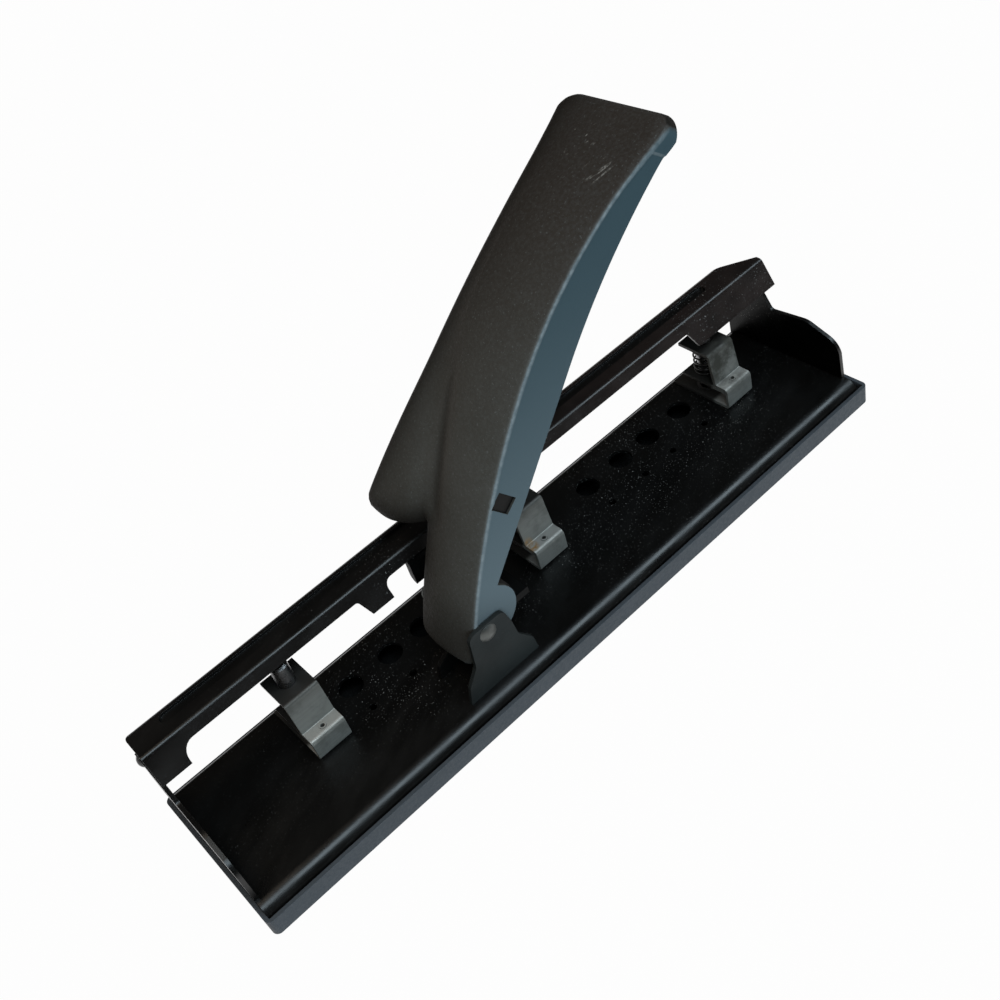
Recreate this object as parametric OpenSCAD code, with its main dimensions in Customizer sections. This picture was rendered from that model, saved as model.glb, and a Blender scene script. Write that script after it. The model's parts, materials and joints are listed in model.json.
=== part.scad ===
// Heavy duty lever punch for three paper holes.
// X runs along the punch, Y from the operator's lever side (-) to the paper side (+), Z is up.
// The origin lies on the table, under the middle hole.

/* [Paper and holes] */
// Length of the paper edge that the side stop is set for
paper_l = 279.4; // [270:0.1:300]
// Distance between neighbouring punched holes
hole_pitch = 107.95; // [100:0.05:115]
// Distance from the paper's edge to the hole centres
edge_margin = 12.7; // [12:0.1:14]
// Diameter of the punch pins
pin_d = 7; // [5.5:0.1:7.6]
// Height of the paper slot under the raised pins
slot_h = 5; // [4.5:0.1:5.8]
// First spare head place, from the middle hole
spare_1 = 34.925; // [20:0.005:40]
// Second spare head place, from the middle hole
spare_2 = 53.975; // [48:0.005:58]
// Third spare head place, from the middle hole
spare_3 = 69.85; // [66:0.005:75]
// Fourth spare head place, from the middle hole
spare_4 = 88.9; // [84:0.005:92]

/* [Base frame] */
// Thickness of the frame's sheet steel
sheet_t = 1.6; // [1.2:0.1:2]
// Height of the plate's top above the table
plate_h = 13; // [12.5:0.5:18]
// Hole line to the front face of the frame
front_d = 50; // [48:0.5:58]
// Hole line to the rear face of the frame
rear_d = 16; // [15:0.5:20]
// Outer radius of the plate's long bends
bend_r = 3; // [2:0.25:4]
// Middle hole to the inside of the left wall
left_l = 160; // [152:1:175]
// Gap between the paper's end and the side stop
stop_gap = 0.5; // [0.2:0.1:1]
// Height of the end walls' crest above the plate
wall_h = 23; // [21:0.2:24]
// Diameter of the head places' large holes
place_d = 10; // [9.8:0.1:11]

/* [Top beam] */
// Height of the beam's top above the plate
beam_h = 42; // [41:0.5:48]
// Width of the beam's flat top
beam_w = 13.8; // [13:0.2:16]
// Hole line to the beam's front top edge
beam_front = 1.9; // [1.5:0.1:2.5]
// Height of the beam's front legs
leg_h = 10.5; // [9:0.25:12]
// How far a front leg leans out over its height
leg_lean = 6.1; // [5:0.1:7]
// Height of the front lip over the windows
lip_h = 4.4; // [3.5:0.1:5]
// Depth of the beam's rear wall
back_h = 16; // [12:0.5:17]
// Thickness of the beam's sheet steel
beam_t = 1.6; // [1.2:0.1:1.8]
// Overhang of the beam's ends past the end walls
beam_over = 2.7; // [1:0.1:4]
// Width of the groove pressed into the beam's top
groove_w = 4.5; // [4:0.25:6]
// Depth of that groove
groove_depth = 1.1; // [0.5:0.1:1.1]
// Width of the strip behind the groove
groove_in = 3.5; // [2:0.25:4]

/* [Punch heads] */
// Width of a head's strap
strap_w = 14.3; // [13:0.1:16]
// Thickness of a head's strap
strap_t = 1.4; // [1.2:0.1:1.5]
// Height of the strap's ledge above the plate
ledge_h = 10.4; // [10.2:0.1:11]
// Height of the strap's top above the plate
head_h = 24.6; // [24:0.1:24.8]
// Depth of the strap's ledge
ledge_d = 6; // [5:0.1:6.5]
// How far the strap's upper wall leans back
wall_lean = 2.3; // [1.5:0.1:3]
// Stop pin's axis to the strap's front face
toe_d = 3.4; // [3:0.1:4]
// Diameter of the hollow stop pins
stop_pin_d = 2.8; // [2.4:0.1:3]
// Hole line to the rear end of the head's upper leaves
leaf_tail = 7; // [6.5:0.1:7.5]
// Thickness of the guide leaf under the ledge
guide_t = 1.2; // [1:0.1:1.4]
// Outer diameter of a die
die_d = 9.6; // [9.2:0.1:9.7]
// Wire diameter of a return spring
spring_wire = 0.8; // [0.6:0.05:0.9]
// Curls in a return spring
spring_curls = 4; // [3:0.5:4.5]

/* [Lever] */
// Pivot axis, from the middle hole towards the left end
pivot_x = 49.25; // [48:0.25:51]
// Height of the pivot axis above the plate
pivot_h = 25.7; // [25:0.1:28]
// Diameter of the pivot pin
pivot_d = 4.4; // [3.6:0.1:4.5]
// Angle of the raised lever above the plate
rest_angle = 50; // [48:0.5:52]
// Swing of the lever
swing = 40; // [36:0.5:40]
// Punch travel for each radian of the lever's swing
cam_r = 13.6; // [12.5:0.1:13.8]
// Length of the lever from the pivot to its tip
lever_l = 176; // [165:0.5:188]
// Width of the lever's lower arm
arm_w = 29; // [27:0.1:30]
// Height of the handle's crown over the pivot line
crown_w = 20.2; // [19.8:0.1:22]
// Wall thickness of the moulded handle
shell_t = 2.2; // [1.8:0.1:2.4]
// Radius of the round lobe beside the pivot
boss_r = 11.7; // [10.5:0.1:12.5]
// Overhang of the grip's lower end past the hole line
lobe_over = 16.8; // [15:0.2:17.4]
// How much farther the tip's front corner reaches than its rear one
tip_slant = 2.2; // [0:0.2:3]
// Thickness of the lever bracket's ears
ear_t = 1.6; // [1.2:0.1:2]
// Thickness of the presser's steel
press_t = 1.6; // [1.2:0.1:1.6]
// Thickness of the presser's arm
arm_t = 3; // [2.5:0.1:3.5]

/* [Chip pan] */
// Height of the rubber strips under the pan
foot_h = 1.5; // [1:0.1:2]
// Thickness of the pan's walls and floor
pan_t = 1.6; // [1.2:0.1:2]
// Plate's top to the pan's rim
rim_drop = 3; // [2.5:0.1:4]
// How far the pan stands out at its right end
pan_tab = 4.2; // [3:0.2:8]

/* [Hidden] */
HEADS = ["left", "middle", "right"];
$fn = 64;

BLACK_STEEL = [0.05, 0.05, 0.055];
BARE_STEEL = [0.66, 0.65, 0.61];
DARK_PLASTIC = [0.17, 0.18, 0.19];
PAN_PLASTIC = [0.2, 0.2, 0.22];
RUBBER = [0.08, 0.08, 0.08];

// Running fit of round pins in their bores
fit = 0.05;
// Face to face gap between fixed pieces, and the wider gap of a free move
seat_gap = 0.1;
free_gap = 0.3;

// Heights above the table
leaf_top = plate_h + strap_t;
ledge_top = plate_h + ledge_h;
head_top = plate_h + head_h;
beam_top = plate_h + beam_h;
pivot_z = plate_h + pivot_h;
guide_top = ledge_top - strap_t;
pin_low = leaf_top + slot_h;

// Places along the punch
stop_x = paper_l / 2 + stop_gap;
wall_out_right = stop_x + sheet_t;
wall_out_left = -left_l - sheet_t;
beam_right = wall_out_right + beam_over;
beam_left = wall_out_left + 0.4;
spares = [spare_1, spare_2, spare_3, spare_4];
head_xs = [-hole_pitch, 0, hole_pitch];
place_xs = concat(head_xs, spares, -spares);

// Lines across the punch
pin_r = pin_d / 2;
stop_y = -edge_margin - stop_pin_d / 2;
strap_front = stop_y - toe_d;
strap_back = strap_front + ledge_d;
strap_bend = strap_back + wall_lean;
beam_rear = beam_w - beam_front;
wall_front = front_d - bend_r - 1.5;

// Presser travel and place inside the beam
stroke = cam_r * swing * PI / 180;
press_gap = 0.4;
press_low = head_top + stroke + press_gap + 0.5;
press_front = -2;
press_rear = beam_rear - beam_t - 0.5;
press_left = -left_l + beam_t + 1;
press_right = stop_x - beam_t - 1;

// Lever bracket and the lever's own walls across the punch
ear_front = -front_d + 7.3;
arm_front = ear_front + ear_t + 0.2;
arm_rear = arm_front + arm_w;
ear_rear = ear_front + 19.3;
cam_front = arm_front + shell_t + free_gap;
cam_rear = ear_rear - ear_t - free_gap;
pivot_end = arm_rear + 2;

// Planar helpers
function unit(v) = v / norm(v);
function left_of(v) = [-v[1], v[0]];
function mitre(p, q, r, t) =
    let (a = left_of(unit(q - p)), b = left_of(unit(r - q)))
    q + (a + b) * t / (1 + a * b);

// Arc of radius rad that rounds the corner q between p and r
function corner(p, q, r, rad, steps = 6) =
    let (
        a = unit(p - q),
        b = unit(r - q),
        half = acos(a * b) / 2,
        c = q + unit(a + b) * rad / sin(half),
        s = q + a * rad / tan(half) - c,
        e = q + b * rad / tan(half) - c,
        side = sign(s[0] * e[1] - s[1] * e[0]),
        sweep = side * (180 - 2 * half)
    )
    [for (i = [0 : steps])
        let (w = sweep * i / steps)
        c + [s[0] * cos(w) - s[1] * sin(w), s[0] * sin(w) + s[1] * cos(w)]];

// Open path with each inner corner rounded by its own radius
function rounded(path, radii, steps = 6) =
    let (n = len(path))
    concat(
        [path[0]],
        [for (i = [1 : n - 2]) each corner(path[i - 1], path[i], path[i + 1], radii[i - 1], steps)],
        [path[n - 1]]
    );

// Closed outline of a sheet of thickness t that lies to the left of its outer face
function sheet(path, t) =
    let (n = len(path))
    concat(
        path,
        [for (k = [0 : n - 1])
            let (i = n - 1 - k)
            i == 0 ? path[0] + t * left_of(unit(path[1] - path[0]))
            : i == n - 1 ? path[i] + t * left_of(unit(path[i] - path[i - 1]))
            : mitre(path[i - 1], path[i], path[i + 1], t)]
    );

// Cubic curve through p and s with handles q and r
function curve(p, q, r, s, steps) =
    [for (i = [0 : steps])
        let (t = i / steps, m = 1 - t)
        m * m * m * p + 3 * m * m * t * q + 3 * m * t * t * r + t * t * t * s];

// Extrudes a (Y, Z) outline along X
module along_x(x0, x1) {
    translate([x0, 0, 0]) rotate([90, 0, 90]) linear_extrude(x1 - x0) children();
}

// Extrudes an (X, Z) outline along Y
module along_y(y0, y1) {
    translate([0, y1, 0]) rotate([90, 0, 0]) linear_extrude(y1 - y0) children();
}

module rod_x(r, x0, x1) {
    along_x(x0, x1) circle(r);
}

module rod_y(r, y0, y1) {
    along_y(y0, y1) circle(r);
}

module rod_z(r, z0, z1) {
    translate([0, 0, z0]) cylinder(r = r, h = z1 - z0);
}

// Rivet along Z with a domed head on top and a flat upset tail below
module rivet(r, z0, z1, head_r, head_h) {
    rod_z(r, z0, z1);
    translate([0, 0, z1]) dome(head_r, head_h);
    rod_z(head_r, z0 - head_h / 2, z0);
}

// Shallow dome of base radius r and height h on the plane Z = 0
module dome(r, h) {
    ball = (r * r + h * h) / (2 * h);
    intersection() {
        translate([0, 0, h - ball]) sphere(ball);
        cylinder(r = r, h = h);
    }
}

// Slot outline from x0 to x1 with round ends, centred on y = 0
module slot(x0, x1, w) {
    translate([x0 + w / 2, -w / 2]) square([x1 - x0 - w, w]);
    for (x = [x0 + w / 2, x1 - w / 2]) translate([x, 0]) circle(w / 2);
}

/* Base frame */

// End wall: curved front, level crest, and a post that rises into the beam
module wall_outline() {
    crest = plate_h + wall_h;
    brow_in = 4;
    brow_drop = 5.6;
    crest_in = 19;
    dip = 2;
    post_slope = 0.6;
    post_w = 3;
    post_drop = 3.5;
    rear_drop = 9;
    post_foot = -beam_front - leg_lean - press_gap;
    post_z = beam_top - post_drop;
    post_y = post_foot + post_slope * (post_z - crest + dip);
    post_rear = beam_rear - beam_t - seat_gap;
    polygon(rounded([
        [-wall_front, plate_h - sheet_t],
        [-wall_front, plate_h],
        [brow_in - wall_front, crest - brow_drop],
        [crest_in - wall_front, crest],
        [post_foot, crest - dip],
        [post_y, post_z],
        [post_y + post_w, post_z],
        [post_rear, post_z - 2 * post_w],
        [post_rear, crest],
        [rear_d, crest - rear_drop],
        [rear_d, plate_h - sheet_t]
    ], [0.5, 9, 9, 2, 1, 1, 2, 4, 3]));
}

// Hole through the plate
module plate_hole(r) {
    rod_z(r, plate_h - 2 * sheet_t, plate_h + sheet_t);
}

module base_frame() {
    flange_z = foot_h + pan_t + seat_gap;
    path = rounded([
        [rear_d, flange_z],
        [rear_d, plate_h],
        [-front_d, plate_h],
        [-front_d, flange_z]
    ], [bend_r, bend_r]);
    color(BLACK_STEEL) difference() {
        union() {
            along_x(wall_out_left, wall_out_right) polygon(sheet(path, sheet_t));
            along_x(wall_out_left, wall_out_left + sheet_t) wall_outline();
            along_x(stop_x, wall_out_right) wall_outline();
        }
        for (x = place_xs) translate([x, 0, 0]) {
            plate_hole(place_d / 2);
            translate([0, stop_y, 0]) plate_hole(stop_pin_d / 2 + 2 * fit);
        }
        for (p = bracket_rivet_places()) translate(p) plate_hole(rivet_r + fit);
        for (p = beam_rivet_places())
            translate([0, p[0], p[1]]) rod_x(rivet_r + fit, wall_out_left - 1, wall_out_right + 1);
    }
}

/* Top beam */

window_z = beam_top - lip_h;
leg_z = beam_top - leg_h;
left_leg_x = -left_l + 10.5;
mid_leg_l = -left_l + 90;
mid_leg_r = mid_leg_l + 8;
right_leg_x = stop_x - 40;
rivet_r = 1.5;
rivet_head_r = 2.4;
rivet_head_h = 1.1;

function beam_rivet_places() = [
    [5.4, plate_h + wall_h + 10.4]
];

// Window between two legs in the front face: (X, Z), open below
module window(x0, x1, r) {
    polygon(concat(
        [[x0 - 1, leg_z - 5]],
        rounded([[x0, leg_z - 4], [x0, window_z], [x1 - 4, window_z], [x1, leg_z - 4]], [r, 1.5]),
        [[x1 + 1, leg_z - 5]]
    ));
}

// End plate of the beam, riveted to the inside of an end wall
module end_plate_outline() {
    low = plate_h + wall_h + 0.8;
    polygon([
        [-beam_front - leg_lean / 2, beam_top - leg_h / 2],
        [-beam_front, beam_top - beam_t / 2],
        [3, beam_top - beam_t / 2],
        [8.8, beam_top - 7],
        [8.8, low + 2],
        [7, low],
        [-1, low]
    ]);
}

module top_beam() {
    path = rounded([
        [beam_rear, beam_top - back_h],
        [beam_rear, beam_top],
        [-beam_front, beam_top],
        [-beam_front - leg_lean, leg_z]
    ], [3, 2]);
    groove_y = beam_rear - groove_in - groove_w / 2;
    groove_l = beam_left + 12;
    groove_r = stop_x - 22;
    taper_x = stop_x - 13;
    taper_y = 0.6;
    taper_drop = 7;
    corner_r = 4;
    color(BLACK_STEEL) difference() {
        union() {
            along_x(beam_left, beam_right) polygon(sheet(path, beam_t));
            along_x(-left_l + seat_gap / 2, -left_l + seat_gap / 2 + beam_t) end_plate_outline();
            along_x(stop_x - seat_gap / 2 - beam_t, stop_x - seat_gap / 2) end_plate_outline();
            translate([0, groove_y, beam_top - beam_t - groove_depth])
                linear_extrude(beam_t) slot(groove_l, groove_r, groove_w + beam_t);
        }
        translate([0, groove_y, beam_top - groove_depth])
            linear_extrude(beam_t) slot(groove_l, groove_r, groove_w);
        along_y(-20, press_front + 0.6) {
            window(left_leg_x, mid_leg_l, 5);
            window(mid_leg_r, right_leg_x, 3);
        }
        // The rear corner of the right end is cut away on a slant
        translate([0, 0, beam_top - taper_drop]) linear_extrude(beam_h) polygon([
            [taper_x, 2 * beam_w],
            [taper_x, beam_rear + seat_gap],
            [beam_right + seat_gap, taper_y],
            [beam_right + beam_w, taper_y],
            [beam_right + beam_w, 2 * beam_w]
        ]);
        translate([taper_x, beam_rear - beam_t - seat_gap, 0])
            cube([2 * beam_right, beam_w, beam_top - taper_drop + 1]);
        // The rear corner of the left end is round
        translate([0, 0, beam_top - back_h - 1]) linear_extrude(beam_h) difference() {
            translate([beam_left - 1, beam_rear - corner_r]) square(corner_r + 1);
            translate([beam_left + corner_r, beam_rear - corner_r]) circle(corner_r);
        }
        for (p = beam_rivet_places())
            translate([0, p[0], p[1]]) rod_x(rivet_r + fit, beam_left - 1, beam_right + 1);
    }
}

// Rivets that hold the beam's end plates to the end walls
module beam_rivets() {
    grip = sheet_t + beam_t + seat_gap / 2;
    color(BARE_STEEL) for (p = beam_rivet_places()) {
        translate([wall_out_right - grip, p[0], p[1]]) rotate([0, 90, 0])
            rivet(rivet_r, 0, grip, rivet_head_r, rivet_head_h);
        translate([wall_out_left + grip, p[0], p[1]]) rotate([0, -90, 0])
            rivet(rivet_r, 0, grip, rivet_head_r, rivet_head_h);
    }
}

/* Chip pan and feet */

pan_left = wall_out_left - seat_gap - pan_t;
pan_right = wall_out_right + pan_tab;
pan_front = -front_d - seat_gap - pan_t;
pan_rear = rear_d + seat_gap + pan_t;
pan_rim = plate_h - rim_drop;

// Rectangle with round corners
module round_rect(x0, y0, x1, y1, r) {
    translate([x0 + r, y0]) square([x1 - x0 - 2 * r, y1 - y0]);
    translate([x0, y0 + r]) square([x1 - x0, y1 - y0 - 2 * r]);
    for (x = [x0 + r, x1 - r]) for (y = [y0 + r, y1 - r]) translate([x, y]) circle(r);
}

module chip_pan() {
    color(PAN_PLASTIC) difference() {
        translate([0, 0, foot_h]) linear_extrude(pan_rim - foot_h)
            round_rect(pan_left, pan_front, pan_right, pan_rear, 2.5);
        translate([pan_left + pan_t, pan_front + pan_t, foot_h + pan_t])
            cube([pan_right - pan_left - 2 * pan_t, pan_rear - pan_front - 2 * pan_t, pan_rim]);
    }
}

module rubber_feet() {
    foot_w = 12;
    foot_in = 6;
    foot_l = pan_right - 3 * foot_w;
    color(RUBBER) for (y = [0, foot_w / 2 + foot_in - front_d])
        linear_extrude(foot_h) translate([0, y]) slot(-foot_l, foot_l, foot_w);
}

/* Lever bracket and pivot */

bracket_l = -pivot_x - 15.8;
bracket_r = -pivot_x + 17;
web_in = 6;

function bracket_rivet_places() = [
    [-pivot_x - 4, (ear_front + ear_rear) / 2, 0],
    [-pivot_x + 6, (ear_front + ear_rear) / 2, 0]
];

// Ear of the bracket: a waisted plate, as (X, Z)
module ear_outline() {
    top = pivot_z + 4.2;
    polygon(rounded([
        [bracket_l, plate_h],
        [bracket_l + 1.7, plate_h + 8],
        [-pivot_x - 9, plate_h + 15],
        [-pivot_x - 7.8, top],
        [-pivot_x + 8, top],
        [-pivot_x + 10, plate_h + 22],
        [-pivot_x + 11, plate_h + 14],
        [bracket_r - 1, plate_h + 7],
        [bracket_r, plate_h]
    ], [4, 4, 3, 3, 5, 3, 3]));
}

// Rear ear: leaner on its left, where the lever's back swings past
module rear_ear_outline() {
    neck = pivot_d / 2 + 0.4;
    waist = 7;
    intersection() {
        ear_outline();
        union() {
            translate([-pivot_x, pivot_z]) circle(pivot_d / 2 + 0.6);
            polygon([
                [-pivot_x - neck, pivot_z + 1],
                [-pivot_x - waist, pivot_z + heel_u + 1],
                [bracket_l, plate_h + 5],
                [bracket_l, plate_h],
                [bracket_r, plate_h],
                [-pivot_x + 2 * waist, pivot_z],
                [-pivot_x + neck, pivot_z + 1]
            ]);
        }
    }
}

module lever_bracket() {
    color(BLACK_STEEL) difference() {
        union() {
            along_y(ear_front, ear_front + ear_t) ear_outline();
            along_y(ear_rear - ear_t, ear_rear) rear_ear_outline();
            translate([bracket_l + web_in, ear_front, plate_h])
                cube([bracket_r - bracket_l - 2 * web_in, ear_rear - ear_front, ear_t]);
        }
        translate([-pivot_x, 0, pivot_z]) rod_y(pivot_d / 2 + fit / 2, -front_d, 0);
        for (p = bracket_rivet_places())
            translate(p) rod_z(rivet_r + fit, plate_h - 1, plate_h + 2 * ear_t);
    }
}

module bracket_rivets() {
    color(BARE_STEEL) for (p = bracket_rivet_places())
        translate(p) rivet(rivet_r, plate_h - sheet_t, plate_h + ear_t, rivet_head_r, rivet_head_h);
}

// Pivot pin: domed head outside the front ear, groove for the clip at the rear
module pivot_pin() {
    r = pivot_d / 2;
    color(BARE_STEEL) translate([-pivot_x, 0, pivot_z]) difference() {
        union() {
            rod_y(r, ear_front, pivot_end);
            translate([0, ear_front, 0]) rotate([90, 0, 0]) dome(r + 1.4, 1.5);
        }
        difference() {
            rod_y(r + 1, arm_rear + 0.25, arm_rear + 1.15);
            rod_y(r - 0.5, arm_rear, arm_rear + 2);
        }
    }
}

// Sleeve between the rear ear and the lever's rear wall
module pivot_spacer() {
    r = pivot_d / 2;
    color(BARE_STEEL) translate([-pivot_x, 0, pivot_z]) difference() {
        rod_y(r + 0.5, ear_rear + seat_gap, arm_rear - shell_t - free_gap);
        rod_y(r + fit, -front_d, 0);
    }
}

// Open spring clip in the pivot pin's groove
module pivot_clip() {
    r = pivot_d / 2;
    color(BARE_STEEL) translate([-pivot_x, 0, pivot_z]) difference() {
        rod_y(r + 2, arm_rear + 0.3, arm_rear + 1.1);
        rod_y(r - 0.5 + fit, arm_rear, arm_rear + 2);
        translate([-r * 0.6, arm_rear, -2 * r - 2]) cube([r * 1.2, 3, 2 * r + 2]);
    }
}

/* Lever */

// The lever's own plane: u runs from the pivot to the tip, w stands square to it
crown_u = lever_l / 2;
nose_drop = 27.46;
pivot_cover = 5.45;
lobe_drop = 2.58;
rim_u = crown_u + 7;
rim_k = 450;
rim_w = 0.8;
heel_u = -15.6;
lobe_u = 21.2;
tip_rear = 4.6;
tip_fore = tip_slant * 0.64;
tip_round = 7;
nose_cut = 0.6;
nose_k = pow(lever_l - crown_u, 2) / nose_drop;
heel_k = pow(crown_u, 2) / (crown_w - pivot_cover);
lobe_k = pow(crown_u, 2) / lobe_drop;

// Top of the front arm, top of the grip's lower end, the tip's slanted end and the handle's lower rim
function arch(u) = crown_w - pow(u - crown_u, 2) / (u > crown_u ? nose_k : heel_k);
function lobe_arch(u) = crown_w - pow(u - crown_u, 2) / (u > crown_u ? nose_k : lobe_k);
function tip_at(y) = lever_l + tip_fore - tip_slant * (y - arm_front) / (tip_rear - arm_front);
function rim(u) = u > rim_u ? rim_w - pow(u - rim_u, 2) / rim_k : min(rim_w, arch(u) - shell_t);

// Lowest line of the grip over the beam, level with the beam's top when the lever is down
down_angle = rest_angle - swing;
function over_beam(u) = (beam_h - pivot_h + 1.2) / cos(down_angle) - u * tan(down_angle);

// Places children drawn in (u, w) in the lever's raised pose, from y0 to y1
module in_lever(y0, y1) {
    translate([-pivot_x, 0, pivot_z]) rotate([0, -rest_angle, 0]) along_y(y0, y1) children();
}

// Places children drawn in plan (u, Y), through the whole height of the lever
module in_plan() {
    translate([-pivot_x, 0, pivot_z]) rotate([0, -rest_angle, 0])
        translate([0, 0, -60]) linear_extrude(120) children();
}

// Side outline between a top line and the rim, drawn in by the wall thickness
module side_outline(u0, lobed, inset) {
    tail = lever_l - inset;
    u1 = tail + tip_fore;
    step = 9;
    us = [for (u = [u0 : step : u1 - 5]) u];
    top = [for (u = us) [u, (lobed ? lobe_arch(u) : arch(u)) - inset]];
    low = [for (i = [len(us) - 1 : -1 : 0]) [us[i], inset > 0 ? -40 : rim(us[i])]];
    nose = [u1, arch(u1) - nose_cut - inset / 2];
    polygon(concat(top, [nose, [tail - 6, inset > 0 ? -40 : rim(tail) + 0.5]], low));
}

// Plan of the grip: straight front, waisted rear edge, round tip and a round lower end
module grip_plan(inset) {
    y0 = arm_front + inset;
    tip_front = [tip_at(y0) - inset, y0];
    tip_mid = [tip_at(-10) - inset, -10];
    tip_back = [tip_at(tip_rear) - inset, tip_rear - inset];
    rear = curve([26, lobe_over], [70, 8.5], [115, -9.5], [lever_l - 6, tip_rear + 0.2], 12);
    polygon(concat(
        [[lobe_u + 9 + inset, y0]],
        corner([lobe_u, y0], tip_front, tip_mid, tip_round, 4),
        corner(tip_mid, tip_back, rear[11] - [0, inset], 5, 4),
        [for (i = [len(rear) - 2 : -1 : 0]) rear[i] - [0, inset]],
        [[lobe_u + 1.4 + inset, lobe_over - 2.4 - inset], [lobe_u + inset, lobe_over - 6.8 - inset]],
        [[lobe_u + 0.6 + inset, 1.8], [lobe_u + 3.3 + inset, -5.9], [lobe_u + 6.8 + inset, arm_rear + inset]]
    ));
}

// Plan of the arm: round corners at the heel, and the tip's round front corner
module arm_plan(inset) {
    heel = heel_u + inset;
    y0 = arm_front + inset;
    y1 = arm_rear - inset;
    tip_front = [tip_at(y0) - inset, y0];
    tip_mid = [tip_at(y1) - inset, y1];
    polygon(concat(
        corner([heel, y1], [heel, y0], tip_front, 5, 4),
        corner([heel, y0], tip_front, tip_mid, tip_round, 4),
        [tip_mid],
        corner(tip_mid, [heel, y1], [heel, y0], 5, 4)
    ));
}

// One wall deep layer of the handle: inset 0 is the outside, shell_t the hollow
module handle_form(inset) {
    // Front bay: the arm from the heel to the tip
    intersection() {
        in_lever(arm_front + inset, arm_rear - inset) side_outline(heel_u, false, inset);
        in_plan() arm_plan(inset);
    }
    // Rear bay: the broad part of the grip, kept above the beam
    intersection() {
        in_lever(arm_rear - shell_t + inset, lobe_over + 10) side_outline(lobe_u, true, inset);
        in_plan() grip_plan(inset);
        in_lever(arm_front, lobe_over + 10) polygon([
            [lobe_u - 5, over_beam(lobe_u - 5) - inset * 20],
            [lever_l + 5, over_beam(lever_l + 5) - inset * 20],
            [lever_l + 5, 60],
            [lobe_u - 5, 60]
        ]);
    }
}

module handle_shell() {
    rear_boss_r = cam_r - 2.1;
    color(DARK_PLASTIC) difference() {
        union() {
            difference() {
                handle_form(0);
                handle_form(shell_t);
            }
            in_lever(arm_front, arm_front + shell_t) boss_outline([5.5, -0.7], boss_r);
            in_lever(arm_rear - shell_t, arm_rear) boss_outline([0, 0], rear_boss_r);
        }
        // Clear of the presser's arm and of the bracket at the pivot
        in_lever(arm_rear - shell_t - 1, arm_rear + 1) difference() {
            translate([-30, -60]) square([30 + rear_boss_r + 3, 60]);
            circle(rear_boss_r);
        }
        translate([-pivot_x, 0, pivot_z]) rod_y(pivot_d / 2 + fit, -front_d, 0);
        in_lever(arm_front - 1, arm_front + shell_t + 0.05) snap_outline(0);
    }
}

// Round lobe of a side wall at the pivot, cut off along the handle's back
module boss_outline(at, r) {
    intersection() {
        translate(at) circle(r);
        polygon(concat(
            [for (u = [-20 : 8 : 20]) [u, arch(u)]],
            [[20, -20], [-20, -20]]
        ));
    }
}

// Window in the handle's front wall that the cam's tab snaps into
module snap_outline(gap) {
    at_u = 47.9;
    drop = 6.34;
    turn = -12;
    across = 6.3;
    high = 8.8;
    translate([at_u, arch(at_u) - drop]) rotate(turn)
        square([across - 2 * gap, high - 2 * gap], center = true);
}

// Steel cam: its nose is the involute of a circle, so the flat arm below it moves evenly
module lever_cam() {
    swing_rad = swing * PI / 180;
    nose = [for (i = [0 : 8])
        let (a = swing_rad * i / 7, d = a * 180 / PI)
        cam_r * [cos(d) + a * sin(d), sin(d) - a * cos(d)]];
    arm_end = crown_u + 8;
    hub_r = 9;
    wall_in = arm_front + shell_t;
    tab_sink = 1.1;
    arm = concat(
        [for (u = [1 - hub_r : 8 : arm_end]) [u, arch(u) - shell_t - seat_gap]],
        [[arm_end, arch(arm_end) - 10], [30, 3], [hub_r + 2, 1]],
        [for (a = [0 : -15 : -180]) hub_r * [cos(a), sin(a)]]
    );
    color(BLACK_STEEL) difference() {
        union() {
            translate([-pivot_x, 0, pivot_z]) along_y(cam_front, cam_rear) {
                polygon(concat([[0, 0]], nose, [[cam_r + 2, 8], [cam_r * 0.75, cam_r * 0.95], [0, 2]]));
                rotate(rest_angle) polygon(arm);
            }
            in_lever(wall_in - shell_t + tab_sink, wall_in - seat_gap) snap_outline(2 * seat_gap);
            in_lever(wall_in - shell_t / 2, cam_front + 1) intersection() {
                snap_outline(2 * seat_gap);
                polygon(arm);
            }
        }
        in_lever(cam_front + 2, cam_rear - 2) polygon([
            [24, -10], [24, arch(24) - shell_t - 2.5], [50, arch(50) - shell_t - 2.5],
            [arm_end + 5, arch(arm_end) - shell_t - 2.5], [arm_end + 5, -10]
        ]);
        translate([-pivot_x, 0, pivot_z]) rod_y(pivot_d / 2 + fit, -front_d, 0);
    }
}

/* Presser */

tongue_l = -pivot_x + cam_r - 1;
tongue_r = tongue_l + 10;
riser_l = -pivot_x - 0.5;
tongue_top = pivot_z - free_gap;
tongue_front = arm_front + shell_t + 0.4;

function arm_rivet_places() = [
    [riser_l + 6, press_rear - 4.5, 0],
    [tongue_r - 5, press_rear - 4.5, 0]
];

// Channel inside the beam that presses all three pins at once
module presser_bar() {
    path = rounded([
        [press_front, press_low + 2.7],
        [press_front, press_low],
        [press_rear, press_low],
        [press_rear, press_low + 3.7]
    ], [1.8, 1.8]);
    color(BLACK_STEEL) difference() {
        along_x(press_left, press_right) polygon(sheet(path, press_t));
        for (p = arm_rivet_places())
            translate(p) rod_z(rivet_r * 0.75 + fit, press_low - 1, press_low + 2 * press_t);
    }
}

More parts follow.
